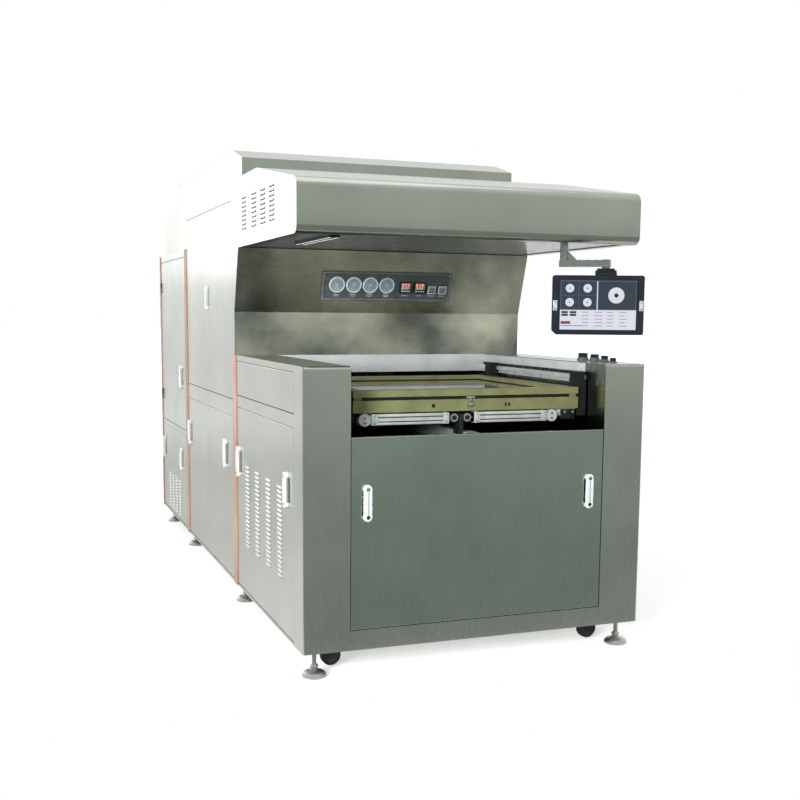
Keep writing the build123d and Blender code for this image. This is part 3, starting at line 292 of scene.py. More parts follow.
# Olive-anodised bar: yellow green, dull, rubbed paler in patches where boards slide over it
olive_anodised = finish_of(
    "olive-anodised aluminium", ("#6e6f4b", "#85865f"), patch=70, grain=(30.0, 30.0, 1.2), rough=(0.34, 0.5),
    relief=0.03, detail=5.0, Metallic=0.35,
)
# Float glass under a polyester film: a clear pane that mirrors the hood, with a beige cast
table_glass = finish_of(
    "float glass with film", ("#8f8f7c", "#a3a290"), patch=300, grain=40.0, rough=(0.06, 0.14), relief=0.01,
    IOR=1.5, Transmission_Weight=0.35, Coat_Weight=0.6, Coat_Roughness=0.05,
)
# Black-painted steel: matt, with a fine orange peel
matt_black = finish_of(
    "matt black paint", ("#0f1110", "#1a1c1b"), patch=45, grain=1.6, rough=(0.5, 0.68), relief=0.06, IOR=1.45
)
# Grey enamel on steel housings: semi-gloss with a fine orange peel
grey_enamel = finish_of(
    "grey enamel", ("#7f8686", "#8f9595"), patch=90, grain=2.0, rough=(0.35, 0.5), relief=0.05, IOR=1.5
)
# Satin grey instrument plate and button collars: anodised aluminium, evenly dull
plate_anodised = finish_of(
    "satin grey anodised plate", ("#50575a", "#60676a"), patch=40, grain=(20.0, 1.0, 1.0), rough=(0.36, 0.5),
    relief=0.03, Metallic=0.35,
)
# Bright-rolled aluminium reflector: nearly a mirror, with rolling lines
reflector_sheet = finish_of(
    "bright-rolled aluminium", ("#d6d8da", "#e6e8ea"), patch=120, grain=(1.5, 80.0, 1.5), rough=(0.1, 0.22),
    relief=0.02, Metallic=1.0,
)
# Frosted quartz tube: milky, dull, slightly violet
frosted_glass = finish_of(
    "frosted quartz", ("#c5c6d2", "#dcdde6"), patch=60, grain=2.0, rough=(0.5, 0.65), relief=0.03,
    IOR=1.46, Transmission_Weight=0.3,
)
# Orange silicone sealing strip: dull rubber, in broad soft patches of paler and deeper orange
orange_strip = finish_of(
    "orange silicone strip", ("#9a7461", "#b79583"), patch=260, grain=(2.5, 2.5, 14.0), rough=(0.42, 0.6),
    relief=0.08, detail=4.0, IOR=1.43,
)
# Smoked acrylic sheet under the hood: blue grey with a clear gloss
smoked_acrylic = finish_of(
    "smoked acrylic", ("#7a8496", "#8b95a6"), patch=240, grain=25.0, rough=(0.12, 0.24), relief=0.02, IOR=1.49
)
# Opal acrylic lamp cover, lit from inside
opal_diffuser = finish_of(
    "opal acrylic, lit", ("#dfe4dc", "#eef1ea"), patch=40, grain=3.0, rough=(0.3, 0.4), relief=0.02,
    IOR=1.49, Emission_Color=rgba("#f3f6ee"), Emission_Strength=0.7,
)
# Black EPDM seal: matt, greyed by dust
soft_rubber = finish_of(
    "EPDM rubber, black", ("#0e0f0d", "#1b1c19"), patch=12, grain=1.2, rough=(0.6, 0.8), relief=0.08, IOR=1.5
)
# Printed dial card: blue grey and matt
dial_paper = finish_of(
    "printed dial card", ("#7f919b", "#99a9b1"), patch=18, grain=1.0, rough=(0.4, 0.55), relief=0.01, IOR=1.45
)
# Blue grey scale band printed on the dials
dial_band = finish_of(
    "printing ink, blue grey", ("#5f7f8c", "#76949f"), patch=8, grain=1.0, rough=(0.4, 0.5),
    relief=0.01, IOR=1.45,
)
# Printing ink on the dials and plates: dark, matt, with thin spots
dial_ink = finish_of(
    "printing ink, dark", ("#23302f", "#35463f"), patch=4, grain=1.0, rough=(0.45, 0.6), relief=0.01, IOR=1.45
)
# Pale engraving fill on the instrument plate
pale_ink = finish_of(
    "engraving fill, pale", ("#a8aba8", "#c2c4c0"), patch=5, grain=1.0, rough=(0.45, 0.6),
    relief=0.01, IOR=1.45,
)


@cache
def threaded_zinc():
    """Zinc-plated foot with a 1.75 mm thread on its stem, drawn at 3.5 mm so that it shows."""
    finish, tree, shader, where = start_finish("zinc-plated steel, threaded", Metallic=1.0)
    mottle(tree, shader, where, ("#b4b8b5", "#ccd0cc"), 9)
    stem_bottom, stem_top, pitch = 49 * MM, 84 * MM, 3.5 * MM
    height = add_node(tree, "ShaderNodeSeparateXYZ", {0: where}).outputs["Z"]
    wave = calculate(tree, "SINE", calculate(tree, "MULTIPLY", height, 2 * pi / pitch))
    above = calculate(tree, "GREATER_THAN", height, stem_bottom)
    below = calculate(tree, "LESS_THAN", height, stem_top)
    thread = calculate(tree, "MULTIPLY", wave, calculate(tree, "MULTIPLY", above, below))
    bump = add_node(tree, "ShaderNodeBump", {"Strength": 0.9, "Distance": 1.2 * MM, "Height": thread})
    tree.links.new(bump.outputs["Normal"], shader.inputs["Normal"])
    grain = add_node(tree, "ShaderNodeTexNoise", {"Scale": 700.0, "Vector": where})
    tree.links.new(ranged(tree, grain.outputs["Fac"], 0.0, 1.0, 0.24, 0.5), shader.inputs["Roughness"])
    return finish


def wheel_finish(name, centre, across):
    """A castor wheel: a black rubber tread round a grey nylon hub, told apart by distance from the axle."""
    finish, tree, shader, where = start_finish(name, IOR=1.5)
    hub_radius, blend, reach = 22 * MM, 1 * MM, 50 * MM
    centred = add_node(tree, "ShaderNodeMapping", {"Location": tuple(-c for c in centre), "Vector": where})
    values = {"operation": "MULTIPLY", 0: centred.outputs["Vector"], 1: across}
    flat = add_node(tree, "ShaderNodeVectorMath", values).outputs["Vector"]
    away = add_node(tree, "ShaderNodeVectorMath", {"operation": "LENGTH", 0: flat}).outputs["Value"]
    stops = [(hub_radius / reach, rgba("#26282a")), ((hub_radius + blend) / reach, rgba("#101010"))]
    share = calculate(tree, "DIVIDE", away, reach)
    rings = add_node(tree, "ShaderNodeValToRGB", {"stops": stops, "Fac": share})
    tree.links.new(rings.outputs["Color"], shader.inputs["Base Color"])
    texture_surface(tree, shader, where, 1.4, (0.5, 0.7), 0.08)
    return finish


@cache
def lit(name, hex_colour, strength):
    """A lit part of a display: its own light over a dark gloss, with the faint grid of its dots."""
    finish, tree, shader, where = start_finish(name, IOR=1.5, Roughness=0.2, Emission_Strength=strength)
    shader.inputs["Base Color"].default_value = rgba("#101418")
    dots = add_node(tree, "ShaderNodeTexNoise", {"Scale": 900.0, "Detail": 1.0, "Vector": where})
    base = Vector(linear(hex_colour))
    stops = [(QUIET, rgba(base * 0.9)), (LOUD, rgba(base))]
    glow = add_node(tree, "ShaderNodeValToRGB", {"stops": stops, "Fac": dots.outputs["Fac"]})
    tree.links.new(glow.outputs["Color"], shader.inputs["Emission Color"])
    return finish


# ---------------------------------------------------------------- shape helpers


def round_edges(bm, edges, offset, segments, clamp=False):
    """Rounds edges by an offset. clamp keeps the rounding within small faces."""
    return bmesh.ops.bevel(
        bm,
        geom=list(edges),
        offset=offset,
        segments=segments,
        profile=0.5,
        affect="EDGES",
        material=-1,
        clamp_overlap=clamp,
    )


# An edge that bends more than this, in radians, is sharp and gets rounded
SHARP = 0.5


def dress(bm, verts, slot, soft, matrix):
    """Gives the faces of new verts a material slot, rounds their sharp edges and puts them in place."""
    faces = {face for vert in verts for face in vert.link_faces}
    for face in faces:
        face.material_index = slot
    if matrix:
        bmesh.ops.transform(bm, matrix=matrix, verts=verts)
    if soft:
        edges = {edge for face in faces for edge in face.edges if edge.calc_face_angle(0.0) > SHARP}
        round_edges(bm, edges, soft, 2, clamp=True)


def block(bm, low, high, slot=0, soft=0.0, matrix=None):
    """A block between two corners, with rounded edges."""
    low, high = Vector(low), Vector(high)
    size = [abs(side) for side in high - low]
    place = Matrix.Translation((low + high) / 2) @ Matrix.Diagonal((*size, 1.0))
    made = bmesh.ops.create_cube(bm, size=1.0, matrix=place)
    dress(bm, made["verts"], slot, soft, matrix)


AXES = {"X": Matrix.Rotation(pi / 2, 4, "Y"), "Y": Matrix.Rotation(-pi / 2, 4, "X"), "Z": Matrix.Identity(4)}


def disc(bm, centre, radius, height, axis="Z", slot=0, soft=0.0, matrix=None, top=None, segments=32):
    """A disc or cone that starts at centre and rises by height along an axis."""
    place = Matrix.Translation(Vector(centre)) @ AXES[axis] @ Matrix.Translation((0, 0, height / 2))
    top = radius if top is None else top
    made = bmesh.ops.create_cone(
        bm, cap_ends=True, segments=segments, radius1=radius, radius2=top, depth=height, matrix=place
    )
    dress(bm, made["verts"], slot, soft, matrix)


def turned(bm, profile, slot=0, matrix=None, steps=48, angle=2 * pi):
    """A ring or band turned about local Z from a profile of (radius, height) points."""
    known = set(bm.verts)
    verts = [bm.verts.new((radius, 0.0, height)) for radius, height in profile]
    edges = [bm.edges.new(pair) for pair in zip(verts, verts[1:])]
    whole = abs(angle - 2 * pi) < 1e-6
    bmesh.ops.spin(
        bm, geom=verts + edges, cent=(0, 0, 0), axis=(0, 0, 1), angle=angle, steps=steps, use_merge=whole
    )
    bmesh.ops.remove_doubles(bm, verts=[vert for vert in bm.verts if vert not in known], dist=0.001 * MM)
    dress(bm, [vert for vert in bm.verts if vert not in known], slot, 0.0, matrix)


def obround(bm, length, breadth, low, high, slot=0, keep=None, soft=0.0, matrix=None):
    """A bar with round ends along local Y. keep cuts it to the part beyond a value of y, either way."""
    radius = breadth / 2
    outline = bmesh.ops.create_circle(bm, cap_ends=True, segments=32, radius=radius)["verts"]
    for vert in outline:
        vert.co.y += (length / 2 - radius) * (1 if vert.co.y > 0 else -1)
        vert.co.z = low
    faces = list({face for vert in outline for face in vert.link_faces})
    geometry = faces + list({edge for face in faces for edge in face.edges}) + outline
    if keep is not None:
        away = (0, 1 if keep > 0 else -1, 0)
        cut = bmesh.ops.bisect_plane(
            bm, geom=geometry, plane_co=(0, keep, low), plane_no=away, clear_inner=True
        )
        faces = [item for item in cut["geom"] if isinstance(item, bmesh.types.BMFace)]
    raised = bmesh.ops.extrude_face_region(bm, geom=faces, use_keep_orig=True)["geom"]
    tops = [item for item in raised if isinstance(item, bmesh.types.BMVert)]
    bmesh.ops.translate(bm, vec=(0, 0, high - low), verts=tops)
    verts = list({vert for face in faces for vert in face.verts} | set(tops))
    dress(bm, verts, slot, 0.0, None)
    if soft:
        rim = {edge for vert in tops for edge in vert.link_edges if all(v in tops for v in edge.verts)}
        rim = [edge for edge in rim if edge.calc_face_angle(0.0) > SHARP]
        rounded = round_edges(bm, rim, soft, 4)
        verts = list(set(vert for vert in verts if vert.is_valid) | set(rounded["verts"]))
    if matrix:
        bmesh.ops.transform(bm, matrix=matrix, verts=verts)


def ring_profile(radius, *points):
    """A profile to turn, from points in millimetres: how far each is beyond the radius, and how high."""
    return [(radius + beyond * MM, height * MM) for beyond, height in points]


def screw(bm, matrix, radius, height, soft, slot=0, segments=20):
    """A screw's head on the face that the matrix stands on, sunk a little into it, in millimetres."""
    soft *= MM
    disc(bm, mm(0, 0, -0.2), radius * MM, height * MM, slot=slot, soft=soft, matrix=matrix, segments=segments)


def border(x0, y0, x1, y1, width):
    """The corners of the four bars that line a rectangle from inside."""
    return (
        (x0, y0, x1, y0 + width),
        (x0, y1 - width, x1, y1),
        (x0, y0, x0 + width, y1),
        (x1 - width, y0, x1, y1),
    )


def mesh_of(name, bm):
    """The mesh made so far, which ends its making."""
    mesh = bpy.data.meshes.new(name)
    bm.to_mesh(mesh)
    bm.free()
    return mesh


def stamp(bm, mesh, matrix):
    """Adds a copy of a mesh in place."""
    known = set(bm.verts)
    bm.from_mesh(mesh)
    bmesh.ops.transform(bm, matrix=matrix, verts=[vert for vert in bm.verts if vert not in known])


def piece(name, bm, body, finishes, replaced=()):
    """Makes the finished object: outward normals, smooth where shallow, riding on its body."""
    bmesh.ops.recalc_face_normals(bm, faces=bm.faces[:])
    mesh = mesh_of(name, bm)
    for finish in finishes:
        mesh.materials.append(finish)
    mesh.polygons.foreach_set("use_smooth", [True] * len(mesh.polygons))
    mesh.set_sharp_from_angle(angle=radians(35))
    made = bpy.data.objects.new(name, mesh)
    bpy.context.scene.collection.objects.link(made)
    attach(made, body)
    if replaced:
        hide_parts(*replaced)
    return made


def wall_frame(side, y, z):
    """Local axes on a side of the cabinet: X along the wall to the right, Y up, Z outwards."""
    axes = Matrix(((0, 0, side, 0), (side, 0, 0, 0), (0, 1, 0, 0), (0, 0, 0, 1)))
    return Matrix.Translation((side * HALF_WIDTH, y, z)) @ axes


# Local axes of a front face: X to the right, Y up, Z towards the operator
FACING = Matrix(((1, 0, 0, 0), (0, 0, -1, 0), (0, 1, 0, 0), (0, 0, 0, 1)))


def front_frame(x, z, y=FRONT):
    """Local axes at a place on a front face."""
    return Matrix.Translation((x, y, z)) @ FACING


def bay_frame(side, x, y, z):
    """Local axes on a side wall inside the bay: Z into the bay."""
    return Matrix.Translation((side * x, y, z)) @ Matrix.Rotation(-side * pi / 2, 4, "Y")


def back_frame(x, z):
    """Local axes on the back face: X to the viewer's right, Y up, Z outwards."""
    axes = Matrix(((-1, 0, 0, 0), (0, 0, 1, 0), (0, 1, 0, 0), (0, 0, 0, 1)))
    return Matrix.Translation((x, BACK, z)) @ axes


# The sloped wall comes forward by its run as it rises
SLOPE_RUN, SLOPE_RISE = 85, 267


def slope_frame():
    """Local axes at the middle of the instrument plate's outer face: X right, Y up the slope, Z outwards."""
    up = Vector((0, -SLOPE_RUN, SLOPE_RISE)).normalized()
    out = Vector((0, -up.z, up.y))
    axes = Matrix(((1, 0, 0, 0), (0, up.y, out.y, 0), (0, up.z, out.z, 0), (0, 0, 0, 1)))
    half_thickness = 2.5 * MM
    return Matrix.Translation(middle_of("gauge_panel") + out * half_thickness) @ axes


# ---------------------------------------------------------------- settings


def measure(name, description, default):
    """A setting that is a length in metres."""
    return FloatProperty(name=name, description=description, default=default, unit="LENGTH")


class HandleSettings(bpy.types.PropertyGroup):
    length: measure("Length", "Length of a handle", 0.1306)
    breadth: measure("Breadth", "Breadth of a handle", 0.0326)
    height: measure("Height", "How far a handle stands out", 0.0143)
    bands: IntProperty(name="Bands", description="Lengthwise bands on the grip", default=3, min=1)


class LouvreSettings(bpy.types.PropertyGroup):
    length: measure("Length", "Length of a louvre", 0.079)
    reach: measure("Reach", "How far its lip stands out", 0.0045)
    pitch: measure("Pitch", "Distance between louvres", 0.0175)


class InstrumentSettings(bpy.types.PropertyGroup):
    gauge_radius: measure("Gauge radius", "Outer radius", 0.036)
    ticks: IntProperty(name="Ticks", description="Marks round a dial", default=21, min=3)
    led: FloatVectorProperty(
        name="Display colour",
        description="Colour of the digits under their light",
        subtype="COLOR",
        default=linear("#ff5a22"),
    )


class MonitorSettings(bpy.types.PropertyGroup):
    width: measure("Width", "Width of the case", 0.342)
    height: measure("Height", "Height of the case", 0.222)
    turn: FloatProperty(
        name="Turn", description="Turn about the joint", default=radians(-22.8), subtype="ANGLE"
    )


class TableSettings(bpy.types.PropertyGroup):
    seal: measure("Seal", "Width of the rubber seals", 0.008)
    groove: measure("Groove", "Width of a cylinder's groove", 0.004)


class HoodSettings(bpy.types.PropertyGroup):
    roll: measure("Roll", "Rounding of the front edges", 0.031)
    strip: measure("Strip", "Width of a lit strip", 0.005)


class FootSettings(bpy.types.PropertyGroup):
    pad_radius: measure("Pad", "Radius of a foot's pad", 0.044)
    stem_radius: measure("Stem", "Radius of its stem", 0.008)


class StageSettings(bpy.types.PropertyGroup):
    floor_front: measure("Floor front", "Where the floor's paper starts", -1.8)
    fill: FloatProperty(name="Fill", description="Share of the room's light that falls on it", default=0.66)
    lens: FloatProperty(name="Lens", description="Focal length in millimetres", default=49.007)
    room: FloatVectorProperty(
        name="Room", description="Colour of the room's light", subtype="COLOR", default=linear("#979d98")
    )


# ---------------------------------------------------------------- pieces


class EXPOSURE_OT_finish_cad(bpy.types.Operator):
    """Give every CAD node its finish"""

    bl_idname = "exposure.finish_cad"
    bl_label = "Finish the CAD nodes"

    def execute(self, context):
        finishes = {
            upright_stainless: "front_base left_arm_shell right_arm_shell bay_floor upper_side_panels "
            "middle_frame rear_frame back_panels left_front_panel left_middle_panel left_rear_panel "
            "right_front_panel right_middle_panel right_rear_panel left_rear_door",
            front_stainless: "front_panel",
            level_stainless: "hood_shell rear_roof riser_housing roof_housing",
            slope_stainless: "back_wall",
            smoked_acrylic: "hood_soffit",
            plate_anodised: "gauge_panel",
            black_plastic: "vacuum_gauges panel_controllers monitor_case monitor_screen start_button "
            "vacuum_button reset_button stop_button",
            ground_steel: "guide_rails",
            zinc_steel: "cylinder_rods monitor_arm",
            matt_black: "chamber_walls alignment_cameras table_carriage work_light monitor_yoke "
            "left_castor_fork right_castor_fork",
            reflector_sheet: "lamp_reflectors blower_wheel",
            frosted_glass: "uv_lamps",
            orange_strip: "joint_strips",
            grey_enamel: "electrical_cabinet vacuum_pump exhaust_blower",
            threaded_zinc: "levelling_feet",
            anodised_aluminium: "table_drive left_clamp_cylinder right_clamp_cylinder",
            olive_anodised: "lower_frame upper_frame",
            table_glass: "lower_glass upper_glass",
        }
        for finish, names in finishes.items():
            for name in names.split():
                self.assign(name, finish())
        for side, _ in SIDES:
            for end in ("front", "rear"):
                name = f"{side}_{end}_wheel"
                across = (1.0, 0.0, 1.0) if end == "front" else (0.0, 1.0, 1.0)
                finish = wheel_finish(f"castor rubber and hub, {side} {end}", middle_of(name), across)
                self.assign(name, finish)
        return {"FINISHED"}

    @staticmethod
    def assign(name, finish):
        """Gives a node one finish all over."""
        node = frame["nodes"][name]
        if not node.data.materials:
            node.data.materials.append(finish)
        for place in node.material_slots:
            place.material = finish


def handle(bm, matrix, length, breadth, height, bands):
    """A low bridge handle: two feet, a rounded grip with a rough band darkened by painted shade, a screw above
    and a hole below.
    """
    gap = 8 * MM
    grip = length * 92 / 130
    for towards in (-1, 1):
        obround(bm, length, breadth, 0.0, gap, keep=towards * grip / 2, matrix=matrix)
    obround(bm, length, breadth, gap - 0.3 * MM, height, soft=4 * MM, matrix=matrix)
    step = breadth * 0.3
    for index in range(bands):
        x = (index - (bands - 1) / 2) * step
        low = (x - step * 0.32, -grip / 2 + 5 * MM, height - 0.4 * MM)
        high = (x + step * 0.32, grip / 2 - 5 * MM, height + 0.5 * MM)
        # The middle band takes slot 3, whose greyer colour is painted shade
        block(bm, low, high, slot=3 if index * 2 == bands - 1 else 0, soft=0.4 * MM, matrix=matrix)
    head = min(5.5 * MM, breadth * 0.22)
    top = (0, length / 2 - breadth * 0.48, height - 0.3 * MM)
    disc(bm, top, head * 1.3, 0.6 * MM, slot=2, soft=0.2 * MM, matrix=matrix)
    disc(bm, top, head, 1.6 * MM, slot=1, soft=0.5 * MM, matrix=matrix, top=head * 0.85)
    hole = (0, -top[1], height - 0.3 * MM)
    disc(bm, hole, head * 1.3, 0.5 * MM, slot=2, matrix=matrix)
    ring = [(head * 1.3, 0.2 * MM), (head * 1.4, 0.8 * MM), (head * 1.6, 0.8 * MM), (head * 1.7, 0.0)]
    turned(bm, ring, matrix=matrix @ Matrix.Translation(hole))


class EXPOSURE_OT_handles(bpy.types.Operator):
    """Put a moulded cover over every bridge handle, where the record's grips are"""

    bl_idname = "exposure.handles"
    bl_label = "Handles"

    def execute(self, context):
        settings = context.scene.exposure_handles
        groups = {}
        for name, (low, high) in OPENINGS.items():
            if "grip" not in name:
                continue
            parts = name.split("_")
            if parts[0] == "front":
                body = "front_cover"
            elif parts[0] == "door":
                body = "rear_door"
            elif parts[1] == "upper":
                body = "cabinet"
            else:
                body = f"{parts[0]}_{parts[1]}_cover"
            groups.setdefault(body, []).append((Vector(low) + Vector(high)) / 2)
        for body, centres in groups.items():
            bm = bmesh.new()
            slim = body == "cabinet"
            length = settings.length * (115 / 130 if slim else 1)
            breadth = settings.breadth * (18.6 / 32.6 if slim else 1)
            for centre in centres:
                if body == "front_cover":
                    matrix = front_frame(centre.x, centre.z)
                else:
                    matrix = wall_frame(1 if centre.x > 0 else -1, centre.y, centre.z)
                handle(bm, matrix, length, breadth, settings.height, 1 if slim else settings.bands)
            finishes = [handle_plastic(), bright_steel(), soft_rubber(), handle_band_painted_shade()]
            piece(f"{body}_handle_covers", bm, body, finishes)
        return {"FINISHED"}


def louvre_lip(length, reach):
    """One pressed louvre: a hood that slopes out of the sheet, open below and tapered at both ends."""
    bm = bmesh.new()
    rise = 6.4 * MM
    place = Matrix.Translation((0, 0, reach / 2)) @ Matrix.Diagonal((length, rise, reach, 1.0))
    verts = bmesh.ops.create_cube(bm, size=1.0, matrix=place)["verts"]
    crest = [vert for vert in verts if vert.co.z > reach / 2]
    upper = [vert for vert in crest if vert.co.y > 0]
    bmesh.ops.translate(bm, vec=(0, -rise * 0.3, -reach * 0.55), verts=upper)
    bmesh.ops.scale(bm, vec=(0.88, 1.0, 1.0), verts=crest)
    edges = {edge for vert in crest for edge in vert.link_edges if all(end in crest for end in edge.verts)}
    round_edges(bm, edges, 0.9 * MM, 2)
    bmesh.ops.translate(bm, vec=(0, 3.4 * MM, -0.1 * MM), verts=bm.verts[:])
    return mesh_of("louvre lip", bm)


class EXPOSURE_OT_louvres(bpy.types.Operator):
    """Press a lip over every louvre slot of the side panels, the hood and the back"""

    bl_idname = "exposure.louvres"
    bl_label = "Louvres"

    def execute(self, context):
        settings = context.scene.exposure_louvres
        lip = louvre_lip(settings.length, settings.reach)
        front_columns = [FRONT + d * MM for d in (317, 494, 679, 855)]
        hood_columns = [FRONT + d * MM for d in (415, 554, 702, 879)]
        rear_columns = [REAR + d * MM for d in (300, 415, 530, 645)]
        hood_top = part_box("hood_shell")[1].z - 94 * MM
        groups = (
            ("front_cover", front_columns, 641 * MM, 20),
            ("rear_cover", rear_columns, 328 * MM, 12),
            ("hood", hood_columns, hood_top, 8),
        )
        for side, sign in SIDES:
            for label, columns, top, rows in groups:
                bm = bmesh.new()
                for y in columns:
                    for row in range(rows):
                        stamp(bm, lip, wall_frame(sign, y, top - row * settings.pitch))
                body = "cabinet" if label == "hood" else f"{side}_{label}"
                finish = level_stainless() if label == "hood" else upright_stainless()
                piece(f"{side}_{label}_louvres", bm, body, [finish])
        bm = bmesh.new()
        for window_top in (614 * MM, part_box("back_panels")[1].z + 2 * MM):
            for column in (-280, -190, -100, 100, 190, 280):
                for row in range(12):
                    z = window_top - 60 * MM - row * settings.pitch
                    stamp(bm, lip, back_frame(column * MM, z))
        piece("back_louvres", bm, "cabinet", [upright_stainless()])
        bpy.data.meshes.remove(lip)
        return {"FINISHED"}


class EXPOSURE_OT_hood_front(bpy.types.Operator):
    """Roll the hood's front edges smooth, with a thin skin over its front, and light the strips under it"""

    bl_idname = "exposure.hood_front"
    bl_label = "Hood front"

    def execute(self, context):
        settings = context.scene.exposure_hood
        self.skin(settings.roll)
        self.strips(settings.strip)
        return {"FINISHED"}

    @staticmethod
    def skin(roll):
        """The front's skin, open at its back, whose level edges are rolled."""
        low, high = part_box("hood_shell")
        proud = 0.3 * MM
        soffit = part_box("hood_soffit")[0].z
        bottom, crown = soffit - 3.3 * MM, 1740.2 * MM
        near, far = low.y - proud, low.y + 41 * MM
        size = (2 * (high.x + proud), far - near, crown - bottom, 1.0)
        place = Matrix.Translation((0, (near + far) / 2, (bottom + crown) / 2)) @ Matrix.Diagonal(size)
        bm = bmesh.new()
        verts = bmesh.ops.create_cube(bm, size=1.0, matrix=place)["verts"]
        rear = [vert for vert in verts if vert.co.y > (near + far) / 2]
        hidden = [face for face in bm.faces if all(vert in rear for vert in face.verts)]
        bmesh.ops.delete(bm, geom=hidden, context="FACES_ONLY")
        raised = [vert for vert in rear if vert.co.z > (bottom + crown) / 2]
        bmesh.ops.translate(bm, vec=(0, 0, 6.8 * MM), verts=raised)
        front = [edge for edge in bm.edges if not any(vert in rear for vert in edge.verts)]
        level = [edge for edge in front if abs(edge.verts[0].co.z - edge.verts[1].co.z) < 1 * MM]
        round_edges(bm, level, roll, 8)
        piece("hood_front_skin", bm, "cabinet", [level_stainless()])

    @staticmethod
    def strips(width):
        """A lit strip along each side of the work light."""
        low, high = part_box("work_light")
        bm = bmesh.new()
        for x0 in (low.x + 5 * MM, high.x - 5 * MM - width):
            at = (x0, low.y + 10 * MM, low.z - 1.2 * MM)
            block(bm, at, (x0 + width, high.y - 10 * MM, low.z + 0.2 * MM), soft=0.5 * MM)
        piece("work_light_strips", bm, "cabinet", [opal_diffuser()])


class EXPOSURE_OT_bay_liner(bpy.types.Operator):
    """Line the loading bay's back and side walls above the rails with pale sheet"""

    bl_idname = "exposure.bay_liner"
    bl_label = "Bay liner"

    def execute(self, context):
        rails_low, rails_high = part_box("guide_rails")
        wall_y = MIDDLE - 3 * MM
        sheet = 0.8 * MM
        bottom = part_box("back_wall")[0].z + 1 * MM
        bm = bmesh.new()
        block(bm, (-ARM_INNER, wall_y - sheet, bottom), (ARM_INNER, wall_y, DECK - 2 * MM), soft=0.2 * MM)
        for _, sign in SIDES:
            x0, x1 = sorted((sign * ARM_INNER, sign * (ARM_INNER - sheet)))
            low = (x0, rails_low.y, rails_high.z + 1 * MM)
            block(bm, low, (x1, wall_y - sheet, DECK - 3 * MM), soft=0.2 * MM)
            for z in (rails_high.z + 4 * MM, DECK - 6 * MM):
                for y in (rails_low.y + 30 * MM, wall_y - 60 * MM):
                    place = bay_frame(sign, ARM_INNER - sheet, y, z)
                    screw(bm, place, 2.4, 1.4, 0.4, slot=1, segments=12)
        piece("bay_liner_sheets", bm, "cabinet", [liner_sheet(), bright_steel()])
        return {"FINISHED"}


class EXPOSURE_OT_levelling_feet(bpy.types.Operator):
    """Turn the eight levelling feet: a domed pad, a ball neck, a threaded stem and a lock nut"""

    bl_idname = "exposure.levelling_feet"
    bl_label = "Levelling feet"

    def execute(self, context):
        settings = context.scene.exposure_feet
        low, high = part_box("levelling_feet")
        pad = settings.pad_radius
        stem, top = settings.stem_radius, high.z
        # Shares of the pad's radius, at heights in millimetres
        dome = ((1, 6), (0.96, 12), (0.86, 17), (0.7, 21), (0.5, 24), (0.34, 26))
        neck = ((0.25, 30), (0.33, 34), (0.36, 38), (0.33, 42), (0.22, 46))
        profile = [
            (0.0, 0.0),
            (pad - 1 * MM, 0.0),
            (pad, 1 * MM),
            *((pad * share, height * MM) for share, height in (*dome, *neck)),
            (stem, 48 * MM),
            (stem, top),
            (0.0, top),
        ]
        bm = bmesh.new()
        for y in (low.y + pad, MIDDLE + 69 * MM, REAR + 107 * MM, high.y - pad):
            for _, sign in SIDES:
                at = Vector((sign * (high.x - pad), y, 0.0))
                turned(bm, profile, matrix=Matrix.Translation(at), steps=32)
                nut = at + Vector((0, 0, top - 14 * MM))
                disc(bm, nut, 14.5 * MM, 13.5 * MM, slot=1, soft=1 * MM, segments=6)
        finishes = [threaded_zinc(), bright_steel()]
        piece("levelling_feet_turned", bm, "cabinet", finishes, ("levelling_feet",))
        return {"FINISHED"}


# Places on the sloped wall in millimetres: across from the cabinet's middle, and up from the plate's middle
GAUGE_X = (-231, -154, -77, 0)
GAUGE_UP = 6
CONTROLLER_X = (89, 157)
TIMER_X = (215, 266)
PLATE_X = 4


